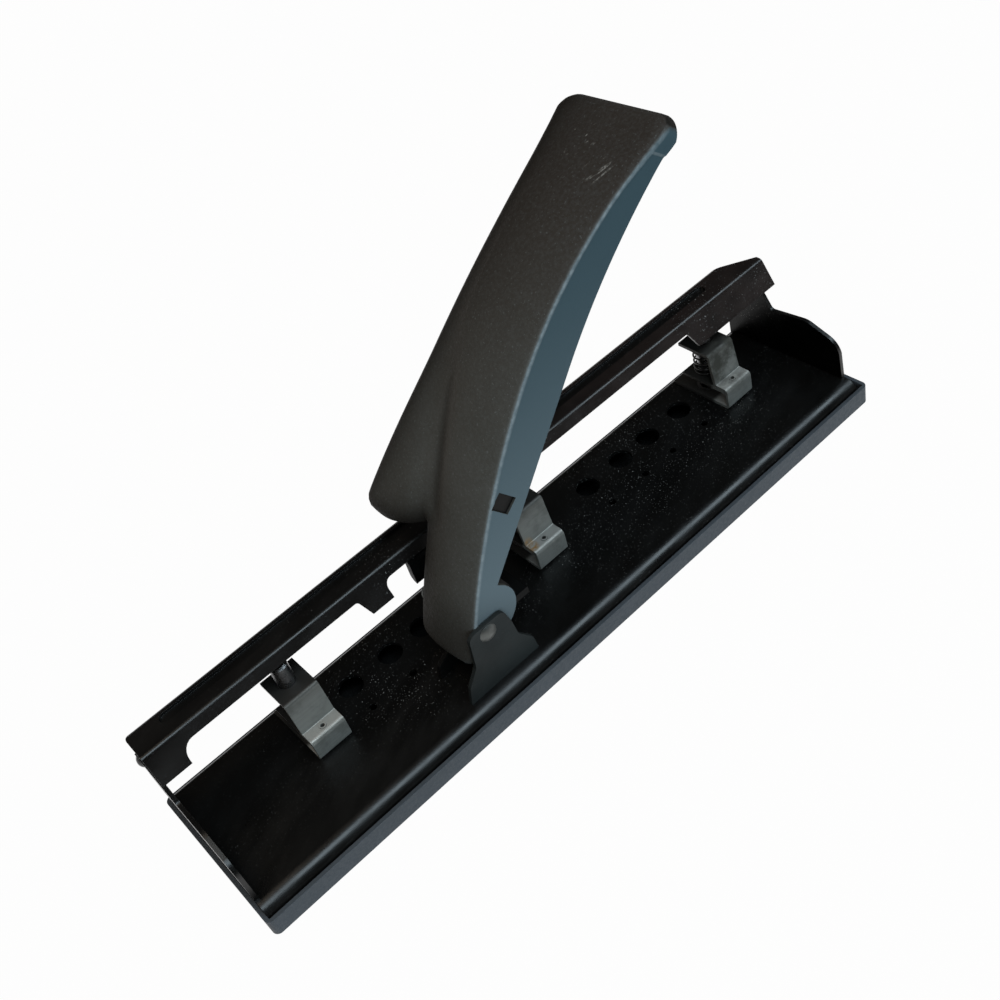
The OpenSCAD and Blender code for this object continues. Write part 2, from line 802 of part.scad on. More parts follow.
// Arm that reaches from the presser forward under the lever's cam
module presser_arm() {
    path = rounded([
        [press_rear - 1, press_low],
        [press_front, press_low],
        [press_front, tongue_top],
        [tongue_front, tongue_top]
    ], [3.6, 0.6]);
    color(BLACK_STEEL) difference() {
        along_x(riser_l, tongue_r) polygon(sheet(path, arm_t));
        translate([riser_l - 1, tongue_front - 1, tongue_top - 2 * arm_t])
            cube([tongue_l - riser_l + 1, press_front - tongue_front + 1, 3 * arm_t]);
        for (p = arm_rivet_places())
            translate(p) rod_z(rivet_r * 0.75 + fit, press_low - 2 * arm_t, press_low + 1);
    }
}

module arm_rivets() {
    color(BARE_STEEL) for (p = arm_rivet_places())
        translate(p) rivet(rivet_r * 0.75, press_low - arm_t, press_low + press_t, rivet_r * 1.2, 0.8);
}

/* Punch heads */

strap_bend_r = strap_t + 0.4;

// Stepped strap: leaf on the plate, front wall, ledge, leaning wall and top leaf
module head_strap(x) {
    path = rounded([
        [leaf_tail, head_top],
        [strap_bend, head_top],
        [strap_back, ledge_top],
        [strap_front, ledge_top],
        [strap_front, plate_h],
        [rear_d - bend_r, plate_h]
    ], [strap_bend_r, 0.4, strap_bend_r, strap_bend_r], 4);
    color(BARE_STEEL) translate([x, 0, 0]) difference() {
        along_x(-strap_w / 2, strap_w / 2) polygon(sheet(path, strap_t));
        rod_z(pin_r + fit, head_top - 2 * strap_t, head_top + strap_t);
        rod_z(die_d / 2 + fit, plate_h - 1, leaf_top + 1);
        translate([0, stop_y, 0]) rod_z(stop_pin_d / 2 + fit, plate_h - 1, ledge_top + 1);
    }
}

// Guide leaf under the ledge that keeps the pin's lower end in line
module guide_leaf(x) {
    front = strap_front + strap_bend_r + seat_gap;
    low = guide_top - guide_t;
    color(BARE_STEEL) translate([x, 0, 0]) difference() {
        translate([-strap_w / 2, front, low]) cube([strap_w, leaf_tail - front, guide_t]);
        rod_z(pin_r + fit, low - guide_t, guide_top + guide_t);
        translate([0, stop_y, 0]) rod_z(stop_pin_d / 2 + fit, low - guide_t, guide_top + guide_t);
    }
}

// Hollow pin that stands in the plate's small hole and stops the paper
module stop_pin(x) {
    color(BARE_STEEL) translate([x, stop_y, 0]) difference() {
        rod_z(stop_pin_d / 2, plate_h - sheet_t - 1.5, ledge_top + 0.25);
        rod_z(stop_pin_d / 2 - 0.55, plate_h - sheet_t - 3, ledge_top + 1);
    }
}

// Die bush in the plate's large hole, relieved below its cutting edge
module punch_die(x) {
    low = plate_h - 5;
    color(BARE_STEEL) translate([x, 0, 0]) difference() {
        rod_z(die_d / 2, low, leaf_top);
        rod_z(pin_r + fit, low - 1, leaf_top + 1);
        rod_z(pin_r + 0.5, low - 1, leaf_top - 3);
    }
}

// Punch pin with a hollow ground cutting end and a bevelled top
module punch_pin(x) {
    top = press_low - 0.2;
    bevel = 0.8;
    color(BARE_STEEL) translate([x, 0, 0]) difference() {
        union() {
            rod_z(pin_r, pin_low, top - bevel);
            translate([0, 0, top - bevel]) cylinder(r1 = pin_r, r2 = pin_r - bevel, h = bevel);
        }
        translate([0, 0, pin_low - pin_d]) rod_x(pin_d + 0.7, -pin_d, pin_d);
    }
}

clip_top = head_top - strap_t - seat_gap;
clip_t = 1.2;
clip_r = pin_r + 2;

// Ring on the pin that the spring lifts against the top leaf
module pin_clip(x) {
    color(BARE_STEEL) translate([x, 0, 0]) difference() {
        rod_z(clip_r, clip_top - clip_t, clip_top);
        rod_z(pin_r + fit / 2, clip_top - 2 * clip_t, clip_top + 1);
    }
}

// Return spring: one unbroken wire with a short upright end at each seat
spring_z0 = guide_top + 0.02;
spring_z1 = clip_top - clip_t - 0.02;
spring_r = pin_r + 0.8 + spring_wire / 2;
RINGS = 8;
SIDES = 6;
spring_steps = spring_curls * RINGS;
spring_rise = spring_z1 - spring_z0 - 2 * spring_wire;
function spring_at(i, z) = [spring_r * cos(360 * i / RINGS), spring_r * sin(360 * i / RINGS), z];
spring_line = concat(
    [spring_at(0, spring_z0)],
    [for (i = [0 : spring_steps]) spring_at(i, spring_z0 + spring_wire + spring_rise * i / spring_steps)],
    [spring_at(spring_steps, spring_z1)]
);

// Least clear distance between curls of the same wire
spring_last = len(spring_line) - 1;
spring_gap = min([
    for (i = [0 : spring_last]) for (j = [i + RINGS / 2 : 1 : spring_last])
        norm(spring_line[i] - spring_line[j])
]) - spring_wire;
echo(spring_least_gap_mm = spring_gap);

// Tube of a few sides along a line of points, with capped ends
module wire(line, r) {
    n = len(line);
    dirs = [for (i = [0 : n - 1]) unit(line[min(i + 1, n - 1)] - line[max(i - 1, 0)])];
    points = [for (i = [0 : n - 1])
        let (
            out = unit([line[i][0], line[i][1], 0]),
            side = unit(out - dirs[i] * (out * dirs[i])),
            up = cross(dirs[i], side)
        )
        for (k = [0 : SIDES - 1])
            let (a = 360 * k / SIDES)
            line[i] + r * (side * cos(a) + up * sin(a))];
    walls = [for (i = [0 : n - 2]) for (k = [0 : SIDES - 1])
        let (a = i * SIDES + k, b = i * SIDES + (k + 1) % SIDES)
        each [[a, a + SIDES, b], [b, a + SIDES, b + SIDES]]];
    ends = [for (k = [1 : SIDES - 2])
        each [[0, k, k + 1], [(n - 1) * SIDES, (n - 1) * SIDES + k + 1, (n - 1) * SIDES + k]]];
    polyhedron(points, concat(walls, ends));
}

module return_spring(x) {
    color(BARE_STEEL) translate([x, 0, 0]) wire(spring_line, spring_wire / 2);
}

base_frame();
top_beam();
beam_rivets();
chip_pan();
rubber_feet();
lever_bracket();
bracket_rivets();
pivot_pin();
pivot_spacer();
pivot_clip();
handle_shell();
lever_cam();
presser_bar();
presser_arm();
arm_rivets();
for (i = [0 : 2]) {
    head_strap(head_xs[i]);
    guide_leaf(head_xs[i]);
    stop_pin(head_xs[i]);
    punch_die(head_xs[i]);
    punch_pin(head_xs[i]);
    pin_clip(head_xs[i]);
    return_spring(head_xs[i]);
}
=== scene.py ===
"""Looks of a heavy duty lever punch for three paper holes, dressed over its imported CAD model."""

import json
import logging
import math
from contextlib import contextmanager
from dataclasses import dataclass, field
from enum import Enum
from functools import partial, reduce
from typing import Any, Callable, Iterable, Iterator, Optional, Sequence

import bpy
import numpy as np
from mathutils import Matrix, Vector

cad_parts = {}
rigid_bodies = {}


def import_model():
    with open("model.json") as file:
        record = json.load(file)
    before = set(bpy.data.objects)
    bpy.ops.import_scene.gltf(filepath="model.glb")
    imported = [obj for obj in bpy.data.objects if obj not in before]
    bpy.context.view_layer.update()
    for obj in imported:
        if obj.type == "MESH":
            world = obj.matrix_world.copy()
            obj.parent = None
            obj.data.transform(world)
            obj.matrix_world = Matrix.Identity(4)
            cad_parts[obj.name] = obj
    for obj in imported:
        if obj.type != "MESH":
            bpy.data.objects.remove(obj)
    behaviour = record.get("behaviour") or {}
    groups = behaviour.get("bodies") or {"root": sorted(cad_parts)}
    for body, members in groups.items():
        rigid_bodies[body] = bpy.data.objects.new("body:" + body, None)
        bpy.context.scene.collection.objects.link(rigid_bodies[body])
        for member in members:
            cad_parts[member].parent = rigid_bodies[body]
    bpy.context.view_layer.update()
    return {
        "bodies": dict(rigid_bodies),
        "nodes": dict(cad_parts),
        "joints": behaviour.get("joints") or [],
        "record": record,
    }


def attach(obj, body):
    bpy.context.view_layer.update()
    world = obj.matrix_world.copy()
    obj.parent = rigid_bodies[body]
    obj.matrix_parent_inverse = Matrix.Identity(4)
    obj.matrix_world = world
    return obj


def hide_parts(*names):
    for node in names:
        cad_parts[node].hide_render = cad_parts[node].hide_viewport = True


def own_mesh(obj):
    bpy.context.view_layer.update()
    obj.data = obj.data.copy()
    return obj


Colour = tuple[float, float, float]
Point = tuple[float, float, float]
Span = tuple[float, float]
Array = np.ndarray
Socket = bpy.types.NodeSocket

LOG = logging.getLogger("punch")
MM = 0.001
# Sockets of a colour mix
MIX_FIRST, MIX_SECOND, MIX_OUT = 6, 7, 2
# Share of a spot's radius that is full
SPOT_CORE = 0.4
# Merging distance of a copy's corners in metres
WELD = 1e-6
# Angles in degrees: faces that count as one, edges that are rounded, edges that stay sharp
FLAT_WITHIN = 0.3
BEND_FROM = 32.0
SHARP_FROM = 38.0


class Body(Enum):
    """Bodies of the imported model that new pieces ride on."""

    FRAME = "frame"
    LEVER = "lever"
    TRAY = "tray"


class Slot(Enum):
    """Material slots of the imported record."""

    FRAME_PAINT = "frame_paint"
    BRACKET_PAINT = "bracket_paint"
    PLATED = "plated_steel"
    TOOL = "tool_steel"
    SPRING = "spring_steel"
    RIVET = "rivet_steel"
    HANDLE = "handle_plastic"
    PAN = "pan_plastic"
    RUBBER = "foot_rubber"


class Head(Enum):
    """The three punch heads, by their place along the punch in millimetres."""

    LEFT = ("left", -107.95)
    MIDDLE = ("middle", 0.0)
    RIGHT = ("right", 107.95)

    @property
    def label(self) -> str:
        """The head's part of a node's name."""
        return self.value[0]

    @property
    def x(self) -> float:
        """The head's place along the punch, in millimetres."""
        return self.value[1]


class WallStep(Enum):
    """Steps in which the handle's side walls grow down from its skin."""

    BAND = "band"
    PANEL = "panel"
    FOOT = "foot"


class Bench:
    """Hand tools: Blender's operators, with the selection kept clean around each of them."""

    @staticmethod
    def clear() -> None:
        """Leaves edit mode and deselects everything."""
        if bpy.context.object is not None and bpy.context.object.mode != "OBJECT":
            bpy.ops.object.mode_set(mode="OBJECT")
        bpy.ops.object.select_all(action="DESELECT")

    @classmethod
    def hold(cls, piece: bpy.types.Object) -> None:
        """Selects one piece alone and makes it active.

        Args:
            piece: The piece.
        """
        cls.clear()
        piece.select_set(True)
        bpy.context.view_layer.objects.active = piece

    @classmethod
    def add(cls, name: str, adder: Callable[..., Any], **options: Any) -> bpy.types.Object:
        """Adds a primitive.

        Args:
            name: Name of the new piece.
            adder: A primitive operator.
            options: The operator's own options.

        Returns:
            The new object, selected and active.
        """
        cls.clear()
        adder(**options)
        piece = bpy.context.object
        piece.name = name
        piece.data.name = name
        return piece

    @classmethod
    def grid(cls, name: str, rows: int, columns: int) -> tuple[bpy.types.Object, Array, Array]:
        """Adds a flat grid.

        Args:
            name: Name of the new piece.
            rows: Lines of vertices one way.
            columns: Lines of vertices the other way.

        Returns:
            The grid, with the row and the column of each vertex.
        """
        last = (rows - 1, columns - 1)
        piece = cls.add(
            name, bpy.ops.mesh.primitive_grid_add, x_subdivisions=last[0], y_subdivisions=last[1], size=1.0
        )
        row, column = np.rint((cls.points(piece)[:, :2] + 0.5) * last).astype(int).T
        return piece, row, column

    @classmethod
    @contextmanager
    def editing(cls, piece: bpy.types.Object) -> Iterator[None]:
        """Edit mode on one piece with all of it selected, left again at the end.

        Args:
            piece: The piece to edit.
        """
        cls.hold(piece)
        bpy.ops.object.mode_set(mode="EDIT")
        bpy.ops.mesh.select_all(action="SELECT")
        yield
        bpy.ops.object.mode_set(mode="OBJECT")

    @staticmethod
    def points(piece: bpy.types.Object) -> Array:
        """The piece's vertices as an array of rows.

        Args:
            piece: The piece.

        Returns:
            One row for each vertex.
        """
        flat = np.zeros(len(piece.data.vertices) * 3)
        piece.data.vertices.foreach_get("co", flat)
        return flat.reshape(-1, 3)

    @staticmethod
    def move(piece: bpy.types.Object, places: Array) -> None:
        """Sets all the piece's vertices."""
        piece.data.vertices.foreach_set("co", np.asarray(places, float).ravel())
        piece.data.update()

    @classmethod
    def join(cls, main: bpy.types.Object, others: Iterable[bpy.types.Object]) -> bpy.types.Object:
        """Joins the others into the main piece.

        Args:
            main: The piece that stays.
            others: Pieces that go into it.

        Returns:
            The main piece.
        """
        cls.hold(main)
        for other in others:
            other.select_set(True)
        bpy.ops.object.join()
        return main

    @classmethod
    def weld(cls, piece: bpy.types.Object, distance: float) -> None:
        """Merges vertices that lie closer than a distance in metres."""
        with cls.editing(piece):
            bpy.ops.mesh.remove_doubles(threshold=distance)

    @classmethod
    def modify(cls, piece: bpy.types.Object, kind: str, **settings: Any) -> None:
        """Adds a modifier with its settings and applies it.

        Args:
            piece: The piece.
            kind: The modifier's type.
            settings: The modifier's own settings.
        """
        cls.hold(piece)
        modifier = piece.modifiers.new(kind.lower(), kind)
        for key, value in settings.items():
            setattr(modifier, key, value)
        bpy.ops.object.modifier_apply(modifier=modifier.name)

    @classmethod
    def cut(cls, piece: bpy.types.Object, tool: bpy.types.Object) -> None:
        """Cuts a tool's shape out of a piece and throws the tool away."""
        cls.modify(piece, "BOOLEAN", operation="DIFFERENCE", solver="EXACT", object=tool, use_self=True)
        bpy.data.objects.remove(tool)

    @classmethod
    def smooth(cls, piece: bpy.types.Object, degrees: float) -> None:
        """Shades a piece smooth, apart from edges sharper than an angle."""
        cls.hold(piece)
        bpy.ops.object.shade_smooth_by_angle(angle=math.radians(degrees))

    @classmethod
    def softened(
        cls, node: bpy.types.Object, name: str, width: float,
        reshape: Optional[Callable[[Array], Array]] = None,
    ) -> bpy.types.Object:
        """Copies a CAD node and rounds the copy's sharp edges.

        Args:
            node: The CAD node's object.
            name: Name of the copy.
            width: Width of the rounding in metres.
            reshape: Moves the copy's vertices before the rounding.

        Returns:
            The copy, with its own merged mesh.
        """
        cls.hold(node)
        bpy.ops.object.duplicate()
        piece = bpy.context.object
        piece.name = name
        piece.parent = None
        for key in list(piece.keys()):
            if key.startswith("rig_"):
                del piece[key]
        piece.data.materials.clear()
        cls.weld(piece, WELD)
        with cls.editing(piece):
            bpy.ops.mesh.dissolve_limited(angle_limit=math.radians(FLAT_WITHIN))
        if reshape is not None:
            cls.move(piece, reshape(cls.points(piece)))
        cls.modify(
            piece, "BEVEL", width=width, segments=3, limit_method="ANGLE",
            angle_limit=math.radians(BEND_FROM), use_clamp_overlap=True, miter_outer="MITER_ARC",
        )
        cls.smooth(piece, SHARP_FROM)
        cls.modify(piece, "WEIGHTED_NORMAL", keep_sharp=True, weight=50)
        return piece


class Nodes:
    """A node tree, and short ways to fill it."""

    def __init__(self, tree: bpy.types.NodeTree) -> None:
        """Takes over a tree and empties it."""
        self.tree = tree
        self.tree.nodes.clear()

    def put(self, socket: Socket, value: Any) -> None:
        """Feeds a socket.

        Args:
            socket: The socket to feed.
            value: Another socket to link, or a number, a vector or a colour to set.
        """
        if isinstance(value, Socket):
            self.tree.links.new(value, socket)
        elif socket.type == "RGBA":
            socket.default_value = (*value, 1.0)
        else:
            socket.default_value = value

    def node(self, kind: str, inputs: dict[Any, Any], **settings: Any) -> Any:
        """Adds a node.

        Args:
            kind: The node's type, without its first two words.
            inputs: What goes into its sockets, by their names or numbers.
            settings: The node's own settings.

        Returns:
            The node's outputs.
        """
        node = self.tree.nodes.new(f"ShaderNode{kind}")
        for key, value in settings.items():
            setattr(node, key, value)
        for key, value in inputs.items():
            self.put(node.inputs[key], value)
        return node.outputs

    def window(self, value: Any, low: float, high: float, start: Any = 0.0, end: Any = 1.0) -> Socket:
        """Eases a value from start to end while it goes from low to high."""
        inputs = {"Value": value, "From Min": low, "From Max": high, "To Min": start, "To Max": end}
        return self.node("MapRange", inputs, interpolation_type="SMOOTHSTEP")["Result"]

    def combine(self, kind: str, first: Any, second: Any) -> Socket:
        """A math node of a kind, on sockets or numbers."""
        return self.node("Math", {0: first, 1: second}, operation=kind)["Value"]

    def product(self, *factors: Any) -> Socket:
        """Multiplies sockets and numbers."""
        return reduce(partial(self.combine, "MULTIPLY"), factors)

    def most(self, *values: Any) -> Socket:
        """The largest of several sockets."""
        return reduce(partial(self.combine, "MAXIMUM"), values)

    def blend(self, share: Any, first: Any, second: Any) -> Socket:
        """Mixes two colours, each a tuple or a socket, by the second one's share."""
        return self.node("Mix", {0: share, MIX_FIRST: first, MIX_SECOND: second}, data_type="RGBA")[MIX_OUT]

    def part(self, vector: Socket, axis: str) -> Socket:
        """One component of a vector."""
        return self.node("SeparateXYZ", {"Vector": vector})[axis]


class Board(Nodes):
    """A material's board: one principled shader and the nodes that feed it."""

    def __init__(self, name: str) -> None:
        """Makes a material with an empty principled shader, read in Object coordinates.

        Args:
            name: The material's name.
        """
        self.material = bpy.data.materials.new(name)
        self.material.use_nodes = True
        super().__init__(self.material.node_tree)
        self.shader = self.tree.nodes.new("ShaderNodeBsdfPrincipled")
        self.node("OutputMaterial", {"Surface": self.shader.outputs["BSDF"]})
        coordinates = self.node("TexCoord", {})
        self.place = coordinates["Object"]
        self.facing = coordinates["Normal"]

    def feed(self, **values: Any) -> None:
        """Feeds the shader's own sockets, named with _ in place of spaces."""
        for key, value in values.items():
            self.put(self.shader.inputs[key.replace("_", " ")], value)

    def turned(self, scale: Point, turn: Point = (0.0, 0.0, 0.0)) -> Socket:
        """Object coordinates read along axes turned by degrees, and scaled along those axes."""
        axes = {"Scale": tuple(1.0 / v for v in scale), "Rotation": tuple(math.radians(a) for a in turn)}
        return self.node("Mapping", {"Vector": self.place, **axes}, vector_type="TEXTURE")["Vector"]

    def noise(
        self, scale: float, detail: float = 2.0, rough: float = 0.5, at: Optional[Socket] = None
    ) -> Socket:
        """Noise of a scale in 1/m, read at the object's own coordinates or at others."""
        inputs = {"Scale": scale, "Detail": detail, "Roughness": rough, "Vector": at or self.place}
        return self.node("TexNoise", inputs)["Fac"]

    def grains(self, scale: float) -> tuple[Socket, Socket]:
        """Cells of a scale in 1/m: distance to the cell's point, and the cell's own random colour."""
        cells = self.node("TexVoronoi", {"Scale": scale, "Vector": self.place})
        return cells["Distance"], cells["Color"]

    def along(self, axis: str, low: float, high: float, start: float = 0.0, end: float = 1.0) -> Socket:
        """Eases from start to end between two places on an axis, in metres."""
        return self.window(self.part(self.place, axis), low, high, start, end)

    def toward(self, axis: str, low: float, high: float, start: float = 0.0, end: float = 1.0) -> Socket:
        """Eases from start to end as faces turn towards an axis."""
        return self.window(self.part(self.facing, axis), low, high, start, end)

    def spot(self, at: Point, radius: float) -> Socket:
        """A soft ball that is 1 at a point (metres) and 0 past a radius."""
        distance = self.node("VectorMath", {0: self.place, 1: at}, operation="DISTANCE")["Value"]
        return self.window(distance, radius * SPOT_CORE, radius, 1.0, 0.0)

    def mark(self, name: str) -> Socket:
        """A number that the mesh carries on its points."""
        return self.node("Attribute", {}, attribute_name=name)["Fac"]

    def relief(self, height: Socket, depth: float, strength: float, under: Optional[Socket] = None) -> Socket:
        """A bump of a depth in metres, on top of another one."""
        inputs = {"Strength": strength, "Distance": depth, "Height": height}
        return self.node("Bump", inputs if under is None else inputs | {"Normal": under})["Normal"]


@dataclass(frozen=True)
class Enamel:
    """Stoved enamel on sheet steel: slight orange peel, thin patches, and dust; painted shade behind the
    bracket's front ear, a painted warm reflection in the beam's dusty film, and painted shade on the side
    stop.

    Each row of strewn dust is a scale in 1/m, a turn in degrees and how much rarer it is than the first.
    The spans are places in metres between which a colour or the dust sets in.
    """

    name: str
    colour: Colour
    roughness: float
    specular: float
    dust: float
    dust_colour: Colour = (0.26, 0.25, 0.235)
    strewn: tuple[tuple[Point, Point, float], ...] = (
        ((1600.0, 1600.0, 1600.0), (0.0, 0.0, 0.0), 0.0),
        ((560.0, 1700.0, 1700.0), (0.0, 0.0, 34.0), 0.07),
        ((380.0, 1600.0, 1600.0), (0.0, 0.0, -41.0), 0.1),
    )
    # Dust film with a painted warm reflection in it, on the beam's top
    film: Optional[Colour] = None
    # Painted shade: a near black that the pieces behind the bracket's front ear take
    inner: Optional[Colour] = None
    inner_from_y: Span = (-0.0411, -0.0405)
    stop_from_x: Span = (0.12, 0.13)
    film_from_z: Span = (0.042, 0.046)
    film_along_x: Span = (-0.05, 0.06)
    groove_from_y: Span = (0.0025, 0.003)
    groove_below_z: Span = (0.0544, 0.0547)
    dust_from_y: Span = (-0.046, -0.016)
    dust_along_x: Span = (-0.118, -0.084)

    def material(self) -> bpy.types.Material:
        """Wires the finish.

        Returns:
            The new material.
        """
        board = Board(self.name)
        board.feed(Specular_IOR_Level=self.specular)
        cloud = board.noise(38.0, 4.0, 0.6)
        tint = tuple(min(1.0, c * 1.7 + 0.0006) for c in self.colour)
        paint = board.blend(board.window(cloud, 0.35, 0.75), self.colour, tint)
        # Painted shade on the pieces behind the bracket's front ear
        if self.inner is not None:
            paint = board.blend(board.along("Y", *self.inner_from_y), paint, self.inner)
        # Dust with a painted warm reflection on the beam, strongest towards its right end, kept off the
        # groove
        if self.film is not None:
            paint = board.blend(self.beam_film(board), paint, self.film)
            # Painted shade: the side stop's inside is made to reflect nothing
            board.feed(Metallic=self.dull_stop(board))
        dirt = self.specks(board)
        board.feed(Base_Color=board.blend(dirt, paint, self.dust_colour))
        wipe = board.noise(70.0, 3.0, 0.6, board.turned((0.4, 1.4, 1.4), (0, 0, 24)))
        gloss = board.window(wipe, 0.3, 0.75, self.roughness, self.roughness + 0.13)
        board.feed(Roughness=board.combine("MAXIMUM", gloss, board.product(dirt, 0.8)))
        peel = board.relief(board.noise(520.0, 2.0), 0.00006, 0.35)
        board.feed(Normal=board.relief(dirt, 0.00006, 0.5, peel))
        return board.material

    def dull_stop(self, board: Board) -> Socket:
        """Share of the side stop's inside that turns metallic on its black paint, so that it reflects
        nothing: painted shade.
        """
        inward = board.toward("X", -0.9, -0.6, 0.85, 0.0)
        return board.product(inward, board.along("X", *self.stop_from_x))

    def beam_film(self, board: Board) -> Socket:
        """Share of the beam's dusty film with a painted warm reflection in it, which grows towards the beam's
        right end.

        Args:
            board: The finish's board.

        Returns:
            A socket with a share from 0 to 1.
        """
        high = board.along("Z", *self.film_from_z)
        along = board.along("X", *self.film_along_x, 0.12, 1.0)
        patchy = board.window(board.noise(65.0, 4.0, 0.62), 0.3, 0.68, 0.45, 1.0)
        behind = board.along("Y", *self.groove_from_y)
        sunk = board.along("Z", *self.groove_below_z, 1.0, 0.0)
        clean = board.combine("SUBTRACT", 1.0, board.product(behind, sunk))
        return board.product(high, clean, along, patchy)

    def specks(self, board: Board) -> Socket:
        """Share of dust: grit and short hairs in drifts, most of it by the row of holes, and crumbs.

        Args:
            board: The finish's board.

        Returns:
            A socket with a share from 0 to 1.
        """
        crumb, crumb_pick = board.grains(420.0)
        crumbs = board.window(crumb, 0.04, 0.1, 1.0, 0.0)
        amount = 0.3 * self.dust
        few = board.window(board.part(crumb_pick, "X"), 1.0 - amount, 1.01 - amount)
        level = 0.75 - amount
        dirt = board.product(crumbs, few)
        for scale, turn, rarer in self.strewn:
            grit = board.noise(1.0, 1.5, 0.45, board.turned(scale, turn))
            lying = board.window(grit, level + rarer, level + rarer + 0.14, 0.0, 0.7)
            dirt = board.combine("MAXIMUM", dirt, lying)
        drift = board.window(board.noise(30.0, 3.0, 0.6), 0.38, 0.64, 0.07, 1.0)
        behind = board.along("Y", *self.dust_from_y, 0.25, 1.0)
        along = board.along("X", *self.dust_along_x, 0.22, 1.0)
        return board.product(dirt, along, drift, behind)


@dataclass(frozen=True)
class Moulded:
    """Moulded plastic with a spark grain, rubbed lighter along its worn edges.

    The wall's two colours are painted bluish front light, the brighter at its foot and the darker at its
    upper end.
    The tip colour is painted shade high up on the top, the inside colour is painted shade on the pan's floor,
    and the near-black colour is painted shade in the crease, along the rear rims, at the heel and inside.
    Each row of scratches is a place and a radius in metres, a scale in 1/m along and across the scratches,
    and a level that keeps them few. The spans are places in metres between which a colour sets in.
    """

    name: str
    colour: Colour
    shade: Colour
    worn: Colour
    roughness: float
    grain: float
    specular: float = 0.35
    # Painted bluish front light on the walls, as the colour at their foot and at their upper end
    wall: Optional[tuple[Colour, Colour]] = None
    # Painted shade: the darker colour that the top takes high up towards its tip
    tip: Optional[Colour] = None
    # Painted shade: a near black on the pan's upward floor, low down
    inside: Optional[Colour] = None
    # Painted shade: the near black for the crease, the rear rims, the heel and the inside
    grime: Colour = (0.008, 0.0065, 0.0052)
    edge: bool = False
    scratches: tuple[tuple[Point, float, Point, float], ...] = ()
    scratch_turn: Point = (0.0, -17.1, -19.6)
    scratch_colour: Colour = (0.15, 0.138, 0.125)
    tip_from_z: Span = (0.095, 0.168)
    floor_below_z: Span = (0.0045, 0.006)
    wall_along_z: Span = (0.02, 0.16)
    flecked: float = 0.14
    mottled: float = 0.05
    grimy: float = 0.9

    def material(self) -> bpy.types.Material:
        """Wires the finish.

        Returns:
            The new material.
        """
        board = Board(self.name)
        board.feed(Specular_IOR_Level=self.specular)
        cloud = board.noise(30.0, 5.0, 0.62)
        base = board.blend(board.window(cloud, 0.32, 0.7), self.shade, self.colour)
        # Painted shade: the top darkens high up towards the tip
        if self.tip is not None:
            base = board.blend(board.along("Z", *self.tip_from_z), base, self.tip)
        skin = board.noise(self.grain, 3.0, 0.55)
        pores = board.noise(self.grain * 0.45, 2.0, 0.5)
        flecks = board.window(board.noise(self.grain * 0.6, 1.0, 0.4), 0.66, 0.76)
        base = board.blend(board.product(flecks, self.flecked), base, self.worn)
        mottle = board.window(board.noise(850.0, 3.0, 0.65), 0.38, 0.72, 0.0, self.mottled)
        base = board.blend(mottle, base, self.worn)
        # Painted shade on upward faces low in the pan
        if self.inside is not None:
            low = board.along("Z", *self.floor_below_z, 1.0, 0.0)
            up = board.toward("Z", 0.5, 0.7)
            base = board.blend(board.product(low, up), base, self.inside)
        # Painted light: walls that face the front take a bluish lit colour, brighter towards the foot
        if self.wall is not None:
            lit_wall = board.toward("Y", -0.97, -0.8, 1.0, 0.0)
            height = board.along("Z", *self.wall_along_z)
            base = board.blend(lit_wall, base, board.blend(height, *self.wall))
            plain = board.combine("SUBTRACT", 1.0, board.product(lit_wall, 0.75))
            skin = board.product(skin, plain)
            pores = board.product(pores, plain)
        rubbed: Optional[Socket] = None
        if self.edge:
            # Painted shade on the crease, the rear rims, the heel and the inside, by the mesh's marks
            base = board.blend(board.product(board.mark("grime"), self.grimy), base, self.grime)
            ragged = board.window(board.noise(420.0, 3.0, 0.7), 0.25, 0.8, 0.35, 1.0)
            rubbed = board.product(board.mark("edge_wear"), ragged)
            base = board.blend(rubbed, base, self.worn)
        if self.scratches:
            base = board.blend(self.scratched(board), base, self.scratch_colour)
        board.feed(Base_Color=base)
        rough = board.window(pores, 0.3, 0.7, self.roughness - 0.06, self.roughness + 0.08)
        if rubbed is not None:
            rough = board.combine("SUBTRACT", rough, board.product(rubbed, 0.16))
        board.feed(Roughness=rough)
        fine = board.relief(skin, 0.00012, 0.75)
        board.feed(Normal=board.relief(pores, 0.00018, 0.35, fine))
        return board.material

    def scratched(self, board: Board) -> Socket:
        """Share of broken scratches, side by side in each marked place.

        Args:
            board: The finish's board.

        Returns:
            A socket, 1 on a scratch.
        """
        broken = board.window(board.noise(1300.0, 2.0, 0.6), 0.36, 0.6, 0.15, 1.0)
        cuts = []
        for at, radius, scale, level in self.scratches:
            hatch = board.noise(1.0, 1.0, 0.5, board.turned(scale, self.scratch_turn))
            cut = board.window(hatch, level, level + 0.07)
            cuts.append(board.product(cut, board.spot(at, radius), broken))
        return board.most(*cuts)


